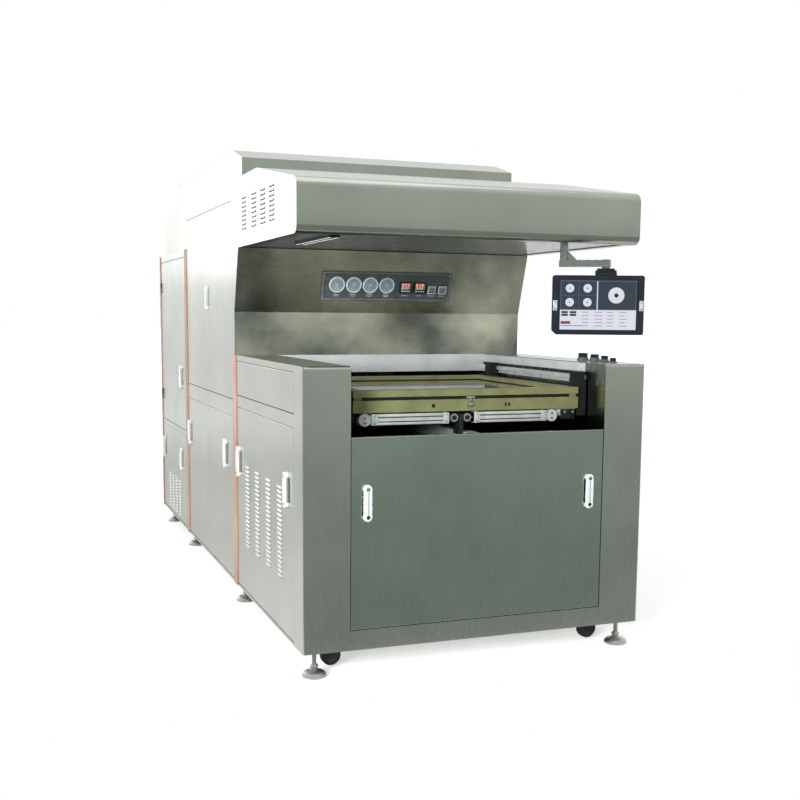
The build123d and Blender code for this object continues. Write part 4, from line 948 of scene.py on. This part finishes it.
class EXPOSURE_OT_gauges(bpy.types.Operator):
    """Build the four vacuum gauges with bezel, dial, marks and needle"""

    bl_idname = "exposure.gauges"
    bl_label = "Vacuum gauges"

    def execute(self, context):
        settings = context.scene.exposure_instruments
        bm = bmesh.new()
        radius = settings.gauge_radius
        for index, x in enumerate(GAUGE_X):
            place = slope_frame() @ Matrix.Translation(mm(x - PLATE_X, GAUGE_UP, 0))
            rim = ring_profile(radius, (-1, 0), (0, 1), (0, 6), (-2, 8), (-5.6, 8), (-7, 5))
            turned(bm, rim, matrix=place)
            disc(bm, mm(0, 0, -40), 28.5 * MM, 40 * MM, slot=3, soft=1 * MM, matrix=place)
            disc(bm, mm(0, 0, 0.3), radius - 2 * MM, 4.8 * MM, slot=1, matrix=place)
            self.marks(bm, place, radius, settings.ticks)
            needle = place @ Matrix.Rotation(radians(-105 - 28 * index), 4, "Z")
            block(bm, mm(-0.9, -7, 5.6), mm(0.9, 20, 6.2), slot=2, soft=0.3 * MM, matrix=needle)
            disc(bm, mm(0, 0, 5.2), 3.4 * MM, 1.8 * MM, soft=0.5 * MM, matrix=place, segments=20)
        # The bezels' pale white is painted reflection
        finishes = [satin_chrome_painted_reflection(), dial_paper(), dial_ink(), matt_black(), dial_band()]
        piece("gauge_assemblies", bm, "cabinet", finishes, ("vacuum_gauges",))
        return {"FINISHED"}

    @staticmethod
    def marks(bm, place, radius, ticks):
        """Marks over three quarters of the dial, and a coloured band inside them."""
        for tick in range(ticks):
            turn = place @ Matrix.Rotation(radians(135 - 270 * tick / (ticks - 1)), 4, "Z")
            long = tick % 5 == 0
            inner = radius - (14 if long else 11.5) * MM
            low, high = (-0.5 * MM, inner, 5.1 * MM), (0.5 * MM, radius - 8 * MM, 5.35 * MM)
            block(bm, low, high, slot=2, matrix=turn)
        band = ring_profile(radius, (-19, 5.1), (-19, 5.3), (-15.5, 5.3), (-15.5, 5.1))
        start = place @ Matrix.Rotation(radians(-45), 4, "Z")
        turned(bm, band, slot=4, matrix=start, steps=30, angle=radians(270))


SEGMENTS = {
    "0": "abcdef", "1": "bc", "2": "abged", "3": "abgcd", "4": "fgbc",
    "5": "afgcd", "6": "afgedc", "7": "abc", "8": "abcdefg", "9": "abcdfg",
}


def digit(bm, figure, left, bottom, height, out, slot, matrix):
    """A seven-segment figure, standing on its lower left corner."""
    wide = height * 0.5
    bar = height * 0.13
    middle = height / 2
    spans = {
        "a": (0, height - bar, wide, height),
        "g": (0, middle - bar / 2, wide, middle + bar / 2),
        "d": (0, 0, wide, bar),
        "f": (0, middle, bar, height),
        "e": (0, 0, bar, middle),
        "b": (wide - bar, middle, wide, height),
        "c": (wide - bar, 0, wide, middle),
    }
    for name in SEGMENTS[figure]:
        x0, y0, x1, y1 = spans[name]
        low = (left + x0, bottom + y0, out)
        high = (left + x1, bottom + y1, out + 0.3 * MM)
        block(bm, low, high, slot=slot, matrix=matrix)


class EXPOSURE_OT_controllers(bpy.types.Operator):
    """Build the faces of the two temperature controllers and the two timers, and the plate's marks"""

    bl_idname = "exposure.controllers"
    bl_label = "Controllers"

    def execute(self, context):
        plane = slope_frame()
        self.faces(plane, context.scene.exposure_instruments.led)
        self.plate(plane)
        return {"FINISHED"}

    @staticmethod
    def faces(plane, led):
        """The controllers' and timers' fronts, with their digits and keys."""
        face = 8 * MM
        bm = bmesh.new()
        figures = (("25", "30"), ("48", "60"))
        for x, (upper, lower) in zip(CONTROLLER_X, figures):
            place = plane @ Matrix.Translation(mm(x - PLATE_X, -1, 0))
            block(bm, mm(-27, -23.5, 7.6), mm(27, 23.5, 9.4), soft=0.8 * MM, matrix=place)
            block(bm, mm(-23, -8, 9.3), mm(23, 20.5, 9.8), slot=1, soft=0.2 * MM, matrix=place)
            for index, figure in enumerate("8" + upper):
                digit(bm, figure, (-19 + index * 13.5) * MM, 7 * MM, 12 * MM, face + 1.8 * MM, 2, place)
            for index, figure in enumerate("0" + lower):
                digit(bm, figure, (-16 + index * 11.5) * MM, -6 * MM, 9 * MM, face + 1.8 * MM, 3, place)
            for index in range(4):
                left = -21 + index * 11.4
                block(bm, mm(left, -19, 9.2), mm(left + 8, -13, 10.4), slot=4, soft=0.6 * MM, matrix=place)
        for x in TIMER_X:
            place = plane @ Matrix.Translation(mm(x - PLATE_X, -10, 0))
            block(bm, mm(-20, -18, 7.6), mm(20, 18, 9.0), slot=4, soft=0.8 * MM, matrix=place)
            block(bm, mm(-16.5, -14.5, 8.9), mm(16.5, 14.5, 9.5), slot=1, soft=0.2 * MM, matrix=place)
            block(bm, mm(-12, -3, 9.4), mm(12, 10, 9.9), slot=5, soft=0.2 * MM, matrix=place)
            for index, figure in enumerate("15" if x == TIMER_X[0] else "40"):
                digit(bm, figure, (-7.5 + index * 8.5) * MM, -1 * MM, 8.5 * MM, face + 1.9 * MM, 6, place)
            for left in (-10, 2):
                block(bm, mm(left, -11.5, 9.4), mm(left + 8, -6.5, 10.4), soft=0.4 * MM, matrix=place)
        finishes = [
            black_plastic(),
            smoked_acrylic(),
            lit("display digits, orange", "#ff7a38", 1.6),
            lit("display digits, yellow", "#ffcf6a", 1.3),
            handle_plastic(),
            lit("display panel, pale", "#b7beb4", 0.25),
            dial_ink(),
        ]
        digits = finishes[2].node_tree.nodes["Principled BSDF"]
        digits.inputs["Base Color"].default_value = rgba(led)
        piece("controller_faces", bm, "cabinet", finishes)

    @staticmethod
    def plate(plane):
        """The plate's engraved border and captions, and its screws."""
        bm = bmesh.new()

        def mark(x0, y0, x1, y1):
            """A filled engraving on the plate."""
            block(bm, mm(x0, y0, -0.1), mm(x1, y1, 0.35), matrix=plane)

        for bar in border(-299, -60, 299, 60, 1.2):
            mark(*bar)
        for x in (-293, 293):
            for y in (-54, 54):
                disc(bm, mm(x, y, 0), 4.5 * MM, 2.2 * MM, slot=1, soft=0.7 * MM, matrix=plane, segments=20)
                block(bm, mm(x - 3, y - 0.5, 2.1), mm(x + 3, y + 0.5, 2.5), slot=2, matrix=plane)
        for x in GAUGE_X:
            for y, width in ((-38, 30), (-45, 20)):
                mark(x - PLATE_X - width / 2, y - 1.5, x - PLATE_X + width / 2, y + 1.5)
        for x in (*CONTROLLER_X, *TIMER_X):
            mark(x - PLATE_X - 15, -41, x - PLATE_X + 15, -38)
        piece("plate_marks", bm, "cabinet", [pale_ink(), bright_steel(), dial_ink()])


class EXPOSURE_OT_monitor(bpy.types.Operator):
    """Build the monitor's frame, clips and picture of tiles, and the arm's collar, gusset and screws"""

    bl_idname = "exposure.monitor"
    bl_label = "Monitor"

    def execute(self, context):
        settings = context.scene.exposure_monitor
        joint = middle_of("monitor_yoke")
        joint.z = 0
        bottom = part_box("monitor_case")[0].z
        middle = bottom + settings.height / 2
        stand = Matrix.Translation(joint) @ Matrix.Rotation(settings.turn, 4, "Z")
        # The screen stands in front of the joint, to its left
        face = stand @ Matrix.Translation((-29.5 * MM, -29 * MM, middle)) @ FACING
        side_bezel, level_bezel = 28.7 * MM, 19.2 * MM
        half_w = settings.width / 2 - side_bezel
        half_h = settings.height / 2 - level_bezel
        self.picture(face, half_w, half_h)
        pad = stand @ Matrix.Translation((0, 0, bottom + settings.height))
        self.trim(face, pad, half_w, half_h, settings.width / 2)
        self.arm(joint)
        return {"FINISHED"}

    @staticmethod
    def picture(face, half_w, half_h):
        """The lit picture: camera views at the left and in the middle, with fields and figures below."""
        bm = bmesh.new()
        layer = -0.9 * MM

        def tile(x0, y0, x1, y1, slot, lift=0.0):
            """A plate of the picture, in shares of its width and height from the top left."""
            low = (half_w * (2 * x0 - 1), half_h * (1 - 2 * y1), layer + lift)
            high = (half_w * (2 * x1 - 1), half_h * (1 - 2 * y0), layer + lift + 0.25 * MM)
            block(bm, low, high, slot=slot, matrix=face)

        def spot(x, y, radius, slot, lift):
            """A round mark of the picture, with its radius in millimetres."""
            centre = (half_w * (2 * x - 1), half_h * (1 - 2 * y), layer + lift)
            disc(bm, centre, radius * MM, 0.25 * MM, slot=slot, matrix=face, segments=28)

        tile(0.0, 0.0, 1.0, 1.0, 0)
        for column in range(2):
            for row in range(2):
                x0, y0 = 0.012 + column * 0.232, 0.02 + row * 0.285
                tile(x0, y0, x0 + 0.226, y0 + 0.278, 1, 0.2 * MM)
                spot(x0 + 0.113, y0 + 0.139, 16, 3, 0.4 * MM)
                spot(x0 + 0.113, y0 + 0.139, 2.6, 2, 0.6 * MM)
        tile(0.482, 0.012, 0.494, 0.6, 3, 0.3 * MM)
        tile(0.5, 0.02, 0.988, 0.585, 1, 0.2 * MM)
        spot(0.735, 0.3, 30, 3, 0.4 * MM)
        spot(0.735, 0.3, 8, 2, 0.6 * MM)
        tile(0.0, 0.6, 1.0, 1.0, 3, 0.2 * MM)
        for x0 in (0.02, 0.13):
            for y0 in (0.625, 0.68):
                tile(x0, y0, x0 + 0.085, y0 + 0.042, 2, 0.4 * MM)
        tile(0.012, 0.83, 0.14, 0.885, 5, 0.4 * MM)
        tile(0.012, 0.91, 0.3, 0.93, 4, 0.4 * MM)
        for row in range(5):
            y0 = 0.635 + row * 0.07
            for x0, x1 in ((0.29, 0.38), (0.45, 0.56), (0.62, 0.7), (0.78, 0.88 - 0.03 * (row % 2))):
                tile(x0, y0, x1, y0 + 0.016, 4, 0.4 * MM)
        finishes = [
            lit("picture ground, slate", "#56647a", 0.8),
            lit("picture tiles, blue grey", "#2b3644", 0.8),
            lit("picture marks, dark", "#10151b", 0.4),
            lit("picture fields, lavender white", "#e6e8f4", 0.92),
            lit("picture marks, grey", "#a9b0bd", 0.8),
            lit("picture key, red", "#8e3434", 0.9),
        ]
        piece("monitor_picture", bm, "monitor", finishes)

    @staticmethod
    def trim(face, pad, half_w, half_h, half_case):
        """The raised rim round the picture, a clip at each side and the pad on top."""
        bm = bmesh.new()
        rim_w, rim_h = half_w + 2 * MM, half_h + 2 * MM
        for x0, y0, x1, y1 in (
            (-rim_w, half_h, rim_w, rim_h),
            (-rim_w, -rim_h, rim_w, -half_h),
            (-rim_w, -half_h, -half_w, half_h),
            (half_w, -half_h, rim_w, half_h),
        ):
            block(bm, (x0, y0, -0.4 * MM), (x1, y1, 0.9 * MM), soft=0.4 * MM, matrix=face)
        for side in (-1, 1):
            x0, x1 = sorted(side * (half_case - inset * MM) for inset in (18, 2))
            block(bm, (x0, -21 * MM, -0.2 * MM), (x1, 17 * MM, 2.4 * MM), slot=1, soft=1 * MM, matrix=face)
            for y in (-15 * MM, 11 * MM):
                centre = ((x0 + x1) / 2, y, 2.2 * MM)
                disc(bm, centre, 3.2 * MM, 1.2 * MM, slot=2, soft=0.4 * MM, matrix=face, segments=20)
        block(bm, mm(-38, -26, -1), mm(38, -10, 9), soft=2.0 * MM, matrix=pad)
        finishes = [black_plastic(), anodised_aluminium(), bright_steel()]
        piece("monitor_trim", bm, "monitor", finishes)

    @staticmethod
    def arm(joint):
        """The collar at the arm's end, and the gusset and screws by its swivel."""
        bm = bmesh.new()
        collar = ring_profile(0, (14.6, -0.4), (16, 1.2), (16, 7), (14.6, 8.6))
        turned(bm, collar, matrix=Matrix.Translation((joint.x, joint.y, 1461 * MM)))
        swivel = Vector((395 * MM, FRONT + 150 * MM, 0))
        along = (joint - swivel).normalized()
        beam = Matrix.Translation(swivel) @ Matrix.Rotation(atan2(along.y, along.x), 4, "Z")
        centre = mm(32, 0, 1507)
        place = beam @ Matrix.Translation(centre) @ Matrix.Diagonal((38 * MM, 4 * MM, 36 * MM, 1.0))
        gusset = bmesh.ops.create_cube(bm, size=1.0, matrix=place)["verts"]
        geometry = gusset + list({item for vert in gusset for item in (*vert.link_edges, *vert.link_faces)})
        slant = beam.to_3x3() @ Vector((1, 0, 1))
        bmesh.ops.bisect_plane(bm, geom=geometry, plane_co=beam @ centre, plane_no=slant, clear_outer=True)
        near = [edge for edge in bm.edges if (edge.verts[0].co - place.translation).length < 40 * MM]
        bmesh.ops.holes_fill(bm, edges=[edge for edge in near if edge.is_boundary], sides=6)
        for x in (30, 60, 90, 120):
            at = mm(x, 0, 1489.6)
            disc(bm, at, 4.2 * MM, 2.4 * MM, slot=1, soft=0.8 * MM, matrix=beam, segments=20)
        finishes = [zinc_steel(), bright_steel()]
        piece("monitor_arm_fittings", bm, "monitor_swing_arm", finishes)


# How far each button's collar stands above the deck, in millimetres: clear of its cap when that is pressed
COLLARS = {"start_button": 5.5, "vacuum_button": 11.5, "reset_button": 14.5, "stop_button": 13}


class EXPOSURE_OT_button_rings(bpy.types.Operator):
    """Put a collar round every push button of the right arm, a skirt under its cap and a lens on three"""

    bl_idname = "exposure.button_rings"
    bl_label = "Button rings"

    def execute(self, context):
        bm = bmesh.new()
        for name, top in COLLARS.items():
            at, radius, _ = self.button(name)
            inner = ((0.7, -0.2), (0.7, top - 0.4), (1.6, top))
            outer = ((3.2, top - 1), (3.6, 2.6), (6, 1.6), (6.4, -0.2))
            turned(bm, ring_profile(radius, *inner, *outer), matrix=Matrix.Translation(at))
        piece("button_rings", bm, "cabinet", [plate_anodised()])

        for name, top in COLLARS.items():
            at, radius, height = self.button(name)
            outer = radius - 0.3 * MM
            under = height - 11 * MM
            foot = under - top * MM + 1 * MM
            bm = bmesh.new()
            skirt = [(9.3 * MM, foot), (outer, foot), (outer, under + 0.5 * MM)]
            turned(bm, skirt, matrix=Matrix.Translation(at))
            piece(f"{name}_skirt", bm, f"{name}_cap", [black_plastic()])

        for name in ("start_button", "vacuum_button", "reset_button"):
            at, radius, height = self.button(name)
            bm = bmesh.new()
            lens = [(0.3 * MM, 0.9 * MM), (radius * 0.55, 0.8 * MM)]
            lens += [(radius * 0.72, 0.2 * MM), (radius * 0.7, -0.4 * MM)]
            turned(bm, lens, matrix=Matrix.Translation(at + Vector((0, 0, height - 0.2 * MM))))
            piece(f"{name}_lens", bm, f"{name}_cap", [zinc_steel()])
        return {"FINISHED"}

    @staticmethod
    def button(name):
        """A button's middle on the deck, its radius and how high it stands."""
        low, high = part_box(name)
        middle = (low + high) / 2
        return Vector((middle.x, middle.y, DECK)), (high.x - low.x) / 2, high.z - DECK


class EXPOSURE_OT_table_details(bpy.types.Operator):
    """Add the seals, latch, slots and brackets of the sliding table, and the trim of its clamp cylinders"""

    bl_idname = "exposure.table_details"
    bl_label = "Table details"

    def execute(self, context):
        settings = context.scene.exposure_table
        self.table(settings)
        self.lid()
        for side, sign in SIDES:
            self.cylinder(side, sign, settings)
        return {"FINISHED"}

    @staticmethod
    def table(settings):
        """The lower frame's seals, slots and latch, the rods' rings and the bracket at their right."""
        low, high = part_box("lower_frame")
        front, top = low.y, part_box("lower_glass")[1].z
        left, right = low.x, high.x
        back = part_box("upper_frame")[1].y - 16 * MM
        seal_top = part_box("upper_frame")[0].z - 0.3 * MM
        bm = bmesh.new()
        inset, corner, seal = 6 * MM, 36 * MM, settings.seal
        at = (left + corner, front + inset, top)
        block(bm, at, (right - corner, front + inset + seal, seal_top), soft=1.5 * MM)
        for x0 in (left + inset, right - inset - seal):
            block(bm, (x0, front + corner, top), (x0 + seal, back - corner, seal_top), soft=1.5 * MM)
        face = front_frame(0, 0, front)
        for x0, x1 in ((-152, -140), (143, 151), (157, 165)):
            block(bm, mm(x0, 942, -0.2), mm(x1, 956, 0.5), soft=0.2 * MM, matrix=face)
        latch = Vector((0, front, top))
        disc(bm, latch + mm(0, -5, -24), 4 * MM, 34 * MM, slot=1, soft=0.8 * MM)
        disc(bm, latch + mm(-17, -5, 6), 4 * MM, 34 * MM, axis="X", slot=1, soft=0.8 * MM)
        block(bm, latch + mm(-9, -9, -27), latch + mm(9, 0, -15), slot=1, soft=1 * MM)
        rods = middle_of("cylinder_rods")
        pin = Vector((0, rods.y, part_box("cylinder_rods")[0].z + 16.5 * MM))
        flat = Matrix.Rotation(pi / 2, 4, "X")
        for x in (-60, -8):
            profile = ring_profile(0, (9.5, 0), (9.5, 2.4), (14.5, 2.4), (15.6, 1.2), (15.6, 0))
            turned(bm, profile, slot=1, matrix=Matrix.Translation(pin + mm(x, -7, 0)) @ flat)
        block(bm, pin + mm(388, -8, -16), pin + mm(446, 22, 20), slot=2, soft=2 * MM)
        block(bm, pin + mm(372, 4, -4), pin + mm(452, 30, 24.5), slot=3, soft=1.5 * MM)
        for x in (400, 434):
            bolt = front_frame(x * MM, pin.z + 10 * MM, pin.y - 8 * MM)
            disc(bm, (0, 0, 0), 6 * MM, 4 * MM, slot=1, soft=0.8 * MM, matrix=bolt, segments=6)
        arc = ring_profile(0, (20, 0), (20, 6), (28, 6), (28, 0), (20, 0))
        hoop = Matrix.Translation(pin + mm(120, 6, -20)) @ flat
        turned(bm, arc, slot=2, matrix=hoop, steps=24, angle=pi)
        finishes = [soft_rubber(), bright_steel(), matt_black(), anodised_aluminium()]
        piece("table_fittings", bm, "table", finishes)

    @staticmethod
    def lid():
        """The seals round the lid's glass, and the screws of its frame."""
        low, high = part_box("upper_frame")
        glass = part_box("upper_glass")[1]
        bar, seal = 42 * MM, 5 * MM
        inner_x, inner_y0, inner_y1 = high.x - bar, low.y + bar, glass.y - 12 * MM
        bm = bmesh.new()
        for x0, y0, x1, y1 in border(-inner_x, inner_y0, inner_x, inner_y1, seal):
            block(bm, (x0, y0, glass.z - 0.1 * MM), (x1, y1, glass.z + 3.5 * MM), soft=1 * MM)
        for x in (-434, -217, 0, 217, 434):
            for y in (low.y + 21 * MM, inner_y1 + 21 * MM):
                disc(bm, (x * MM, y, high.z - 0.1 * MM), 4 * MM, 0.9 * MM, slot=1, soft=0.3 * MM, segments=20)
                disc(bm, (x * MM, y, high.z + 0.7 * MM), 2 * MM, 0.25 * MM, segments=6)
        piece("lid_fittings", bm, "table_lid", [soft_rubber(), bright_steel()])

    @staticmethod
    def cylinder(side, sign, settings):
        """A clamp cylinder's end blocks, grooves, ribs, screws and air fitting."""
        low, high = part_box(f"{side}_clamp_cylinder")
        front = low.y
        middle = (low.z + high.z) / 2
        bm = bmesh.new()
        near = low.x if sign > 0 else high.x
        far = (high.x - 47 * MM) if sign > 0 else (low.x + 47 * MM)
        half, depth = 20.8 * MM, 34.8 * MM
        face = front - 0.4 * MM
        for start, length in ((near, 22 * MM), (far, -22 * MM)):
            x0, x1 = sorted((start, start + sign * length))
            block(bm, (x0, face, middle - half), (x1, face + depth, middle + half), soft=2.5 * MM)
            for z in (middle - 13 * MM, middle + 13 * MM):
                screw(bm, front_frame((x0 + x1) / 2, z, face), 3, 1.2, 0.4, slot=2, segments=18)
        x0, x1 = sorted((near + sign * 24 * MM, far - sign * 24 * MM))
        groove, rib = settings.groove / 2, 1.2 * MM
        for z in (middle - 8 * MM, middle + 8 * MM):
            block(bm, (x0, face, z - groove), (x1, front + 2 * MM, z + groove), slot=1)
        for z in (middle - 13.5 * MM, middle, middle + 13.5 * MM):
            block(bm, (x0, front - rib, z - rib), (x1, front + 2 * MM, z + rib), soft=0.8 * MM)
        clevis_x = (high.x - 23 * MM) if sign > 0 else (low.x + 23 * MM)
        for z in (middle - 9 * MM, middle + 9 * MM):
            head = front_frame(clevis_x, z, front + 4 * MM)
            screw(bm, head, 5, 3, 0.8, slot=2)
            disc(bm, mm(0, 0, 2.7), 2.6 * MM, 0.3 * MM, slot=1, matrix=head, segments=6)
        fitting = (near + sign * 12 * MM, front + 17 * MM, middle + half - 1 * MM)
        disc(bm, fitting, 6 * MM, 8 * MM, slot=2, soft=1 * MM, segments=6)
        finishes = [anodised_aluminium(), soft_rubber(), bright_steel()]
        piece(f"{side}_cylinder_trim", bm, f"{side}_clamp", finishes)


class EXPOSURE_OT_rail_details(bpy.types.Operator):
    """Add the rails' screws and the dark wiper strips along their upper edges"""

    bl_idname = "exposure.rail_details"
    bl_label = "Rail details"

    def execute(self, context):
        low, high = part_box("guide_rails")
        bm = bmesh.new()
        spacing = 80 * MM
        count = int((high.y - low.y) / spacing)
        for _, sign in SIDES:
            for index in range(count):
                y = low.y + spacing * (index + 0.5)
                for z in (low.z + 7 * MM, high.z - 7 * MM):
                    screw(bm, bay_frame(sign, ARM_INNER - 4 * MM, y, z), 3.4, 0.9, 0.3, segments=16)
            x0, x1 = sorted((sign * (ARM_INNER - 3 * MM), sign * (ARM_INNER - 4.5 * MM)))
            low_corner = (x0, low.y + 30 * MM, high.z - 13 * MM)
            block(bm, low_corner, (x1, MIDDLE - 4 * MM, high.z - 1 * MM), slot=1, soft=0.3 * MM)
        piece("rail_screws", bm, "cabinet", [bright_steel(), soft_rubber()])
        return {"FINISHED"}


# Places of a Mix node's colour sockets
COLOUR_A, COLOUR_B, COLOUR_OUT = 6, 7, 2

# Each softbox: name, place, target, side in metres, watts, spread in degrees, and whether metal mirrors it
SOFTBOXES = (
    ("back left softbox", (-4.0, 8.2, 3.5), (-0.6, 0.0, 1.4), 3.6, 72, 180, True),
    ("overhead softbox", (-0.6, -1.0, 5.6), (0.0, -0.2, 0.8), 5.0, 66, 180, True),
    ("front left softbox", (-5.4, -6.4, 2.6), (0.0, -1.4, 1.2), 2.4, 175, 70, False),
)


class EXPOSURE_OT_stage(bpy.types.Operator):
    """Set the floor, the soft studio light and the camera of the photograph"""

    bl_idname = "exposure.stage"
    bl_label = "Stage"

    def execute(self, context):
        settings = context.scene.exposure_stage
        self.floor(settings)
        self.world(context.scene, settings)
        for softbox in SOFTBOXES:
            self.lamp(*softbox)
        self.camera(context.scene, settings)
        return {"FINISHED"}

    @staticmethod
    def floor(settings):
        """A plain pale paper under and behind the machine, whitened for the eye where no shadow falls."""
        half = 40.0
        bm = bmesh.new()
        place = Matrix.Translation((0, settings.floor_front + half, 0))
        bmesh.ops.create_grid(bm, x_segments=2, y_segments=2, size=half, matrix=place)
        mesh = mesh_of("floor", bm)
        finish, tree, shader, where = start_finish("pale floor", IOR=1.45, Roughness=0.9)
        mottle(tree, shader, where, ("#efefed", "#f2f2f0"), 900)
        shader.inputs["Emission Color"].default_value = rgba("#ffffff")
        away = add_node(tree, "ShaderNodeVectorMath", {"operation": "LENGTH", 0: where}).outputs["Value"]
        near, far = 4.0, 9.0
        lift = ranged(tree, away, near, far, 0.02, 0.42)
        mirrored = calculate(tree, "MULTIPLY", lift, EXPOSURE_OT_stage.seen(tree))
        rays = add_node(tree, "ShaderNodeLightPath")
        glow = calculate(tree, "MULTIPLY_ADD", rays.outputs["Is Camera Ray"], 0.45, mirrored)
        tree.links.new(glow, shader.inputs["Emission Strength"])
        mesh.materials.append(finish)
        floor = bpy.data.objects.new("floor", mesh)
        bpy.context.scene.collection.objects.link(floor)

    @staticmethod
    def seen(tree):
        """1 for what the camera, metal and glass see, and 0 for light that falls on the machine."""
        rays = add_node(tree, "ShaderNodeLightPath").outputs
        either = calculate(tree, "MAXIMUM", rays["Is Camera Ray"], rays["Is Glossy Ray"])
        return calculate(tree, "MAXIMUM", either, rays["Is Transmission Ray"])

    @staticmethod
    def world(scene, settings):
        """Room light: white behind and above the machine, dimmer and greener on the operator's side."""
        world = bpy.data.worlds.new("studio")
        world.use_nodes = True
        tree = world.node_tree
        tree.nodes.clear()
        direction = add_node(tree, "ShaderNodeTexCoord").outputs["Generated"]
        axes = add_node(tree, "ShaderNodeSeparateXYZ", {0: direction})
        white = (1.0, 1.0, 1.0, 1.0)

        def blend(axis, start, stop, below, above):
            """Mixes from below to above as the direction's axis runs from start to stop."""
            values = {"interpolation_type": "SMOOTHSTEP", "From Min": start, "From Max": stop}
            share = add_node(tree, "ShaderNodeMapRange", {"Value": axes.outputs[axis], **values})
            sides = {0: share.outputs["Result"], COLOUR_A: below, COLOUR_B: above}
            return add_node(tree, "ShaderNodeMix", {"data_type": "RGBA", **sides}).outputs[COLOUR_OUT]

        dim = (*(value * 0.95 for value in settings.room), 1.0)
        upper = (*(value * 2.0 for value in settings.room), 1.0)
        front = blend("Z", -0.19, 0.04, dim, upper)
        around = blend("Y", -0.35, 0.4, front, white)
        tint = blend("Z", 0.3, 0.9, around, (0.86, 0.87, 0.86, 1.0))
        strength = ranged(tree, EXPOSURE_OT_stage.seen(tree), 0.0, 1.0, settings.fill, 1.0)
        studio = add_node(tree, "ShaderNodeBackground", {"Color": tint, "Strength": strength})
        paper = add_node(tree, "ShaderNodeBackground", {"Color": white, "Strength": 1.0})
        seen = add_node(tree, "ShaderNodeLightPath").outputs["Is Camera Ray"]
        mixed = add_node(tree, "ShaderNodeMixShader", {0: seen, 1: studio.outputs[0], 2: paper.outputs[0]})
        add_node(tree, "ShaderNodeOutputWorld", {"Surface": mixed.outputs[0]})
        scene.world = world
        scene.view_settings.view_transform = "Standard"

    @staticmethod
    def lamp(name, place, target, size, power, spread, mirrored):
        """A square softbox that looks at its target."""
        lamp = bpy.data.lights.new(name, "AREA")
        lamp.shape = "SQUARE"
        lamp.size = size
        lamp.energy = power
        lamp.spread = radians(spread)
        made = bpy.data.objects.new(name, lamp)
        made.location = place
        made.visible_glossy = mirrored
        made.rotation_euler = (Vector(target) - Vector(place)).to_track_quat("-Z", "Y").to_euler()
        bpy.context.scene.collection.objects.link(made)

    @staticmethod
    def camera(scene, settings):
        """The photograph's camera: its place, turn and shift were fitted to the photo's straight edges."""
        place, yaw, pitch, roll = (-1.6577, -5.1601, 1.2805), radians(20.61), radians(-6.71), radians(0.5)
        photo_side, raised = 800, 42.46  # pixels
        camera = bpy.data.cameras.new("photo camera")
        camera.lens = settings.lens
        camera.sensor_width = 36.0
        camera.shift_y = raised / photo_side
        made = bpy.data.objects.new("photo camera", camera)
        turn = Matrix.Rotation(-yaw, 4, "Z") @ Matrix.Rotation(pi / 2 + pitch, 4, "X")
        made.matrix_world = Matrix.Translation(place) @ turn @ Matrix.Rotation(roll, 4, "Z")
        scene.collection.objects.link(made)
        scene.camera = made


OPERATORS = (
    EXPOSURE_OT_finish_cad,
    EXPOSURE_OT_handles,
    EXPOSURE_OT_louvres,
    EXPOSURE_OT_hood_front,
    EXPOSURE_OT_bay_liner,
    EXPOSURE_OT_levelling_feet,
    EXPOSURE_OT_gauges,
    EXPOSURE_OT_controllers,
    EXPOSURE_OT_monitor,
    EXPOSURE_OT_button_rings,
    EXPOSURE_OT_table_details,
    EXPOSURE_OT_rail_details,
    EXPOSURE_OT_stage,
)
SETTINGS = {
    "exposure_handles": HandleSettings,
    "exposure_louvres": LouvreSettings,
    "exposure_instruments": InstrumentSettings,
    "exposure_monitor": MonitorSettings,
    "exposure_table": TableSettings,
    "exposure_hood": HoodSettings,
    "exposure_feet": FootSettings,
    "exposure_stage": StageSettings,
}


class EXPOSURE_PT_pieces(bpy.types.Panel):
    """List the machine's pieces"""

    bl_idname = "EXPOSURE_PT_pieces"
    bl_label = "Exposure machine"
    bl_space_type = "VIEW_3D"
    bl_region_type = "UI"
    bl_category = "Exposure machine"

    def draw(self, context):
        for operator in OPERATORS:
            self.layout.operator(operator.bl_idname)


def register():
    for kind in (*SETTINGS.values(), *OPERATORS, EXPOSURE_PT_pieces):
        bpy.utils.register_class(kind)
    for name, kind in SETTINGS.items():
        setattr(bpy.types.Scene, name, PointerProperty(type=kind))


def unregister():
    for name in SETTINGS:
        delattr(bpy.types.Scene, name)
    for kind in reversed((*SETTINGS.values(), *OPERATORS, EXPOSURE_PT_pieces)):
        bpy.utils.unregister_class(kind)


def main():
    register()
    for operator in OPERATORS:
        getattr(bpy.ops.exposure, operator.bl_idname.split(".")[1])()
    bpy.context.view_layer.update()


if __name__ == "__main__":
    main()
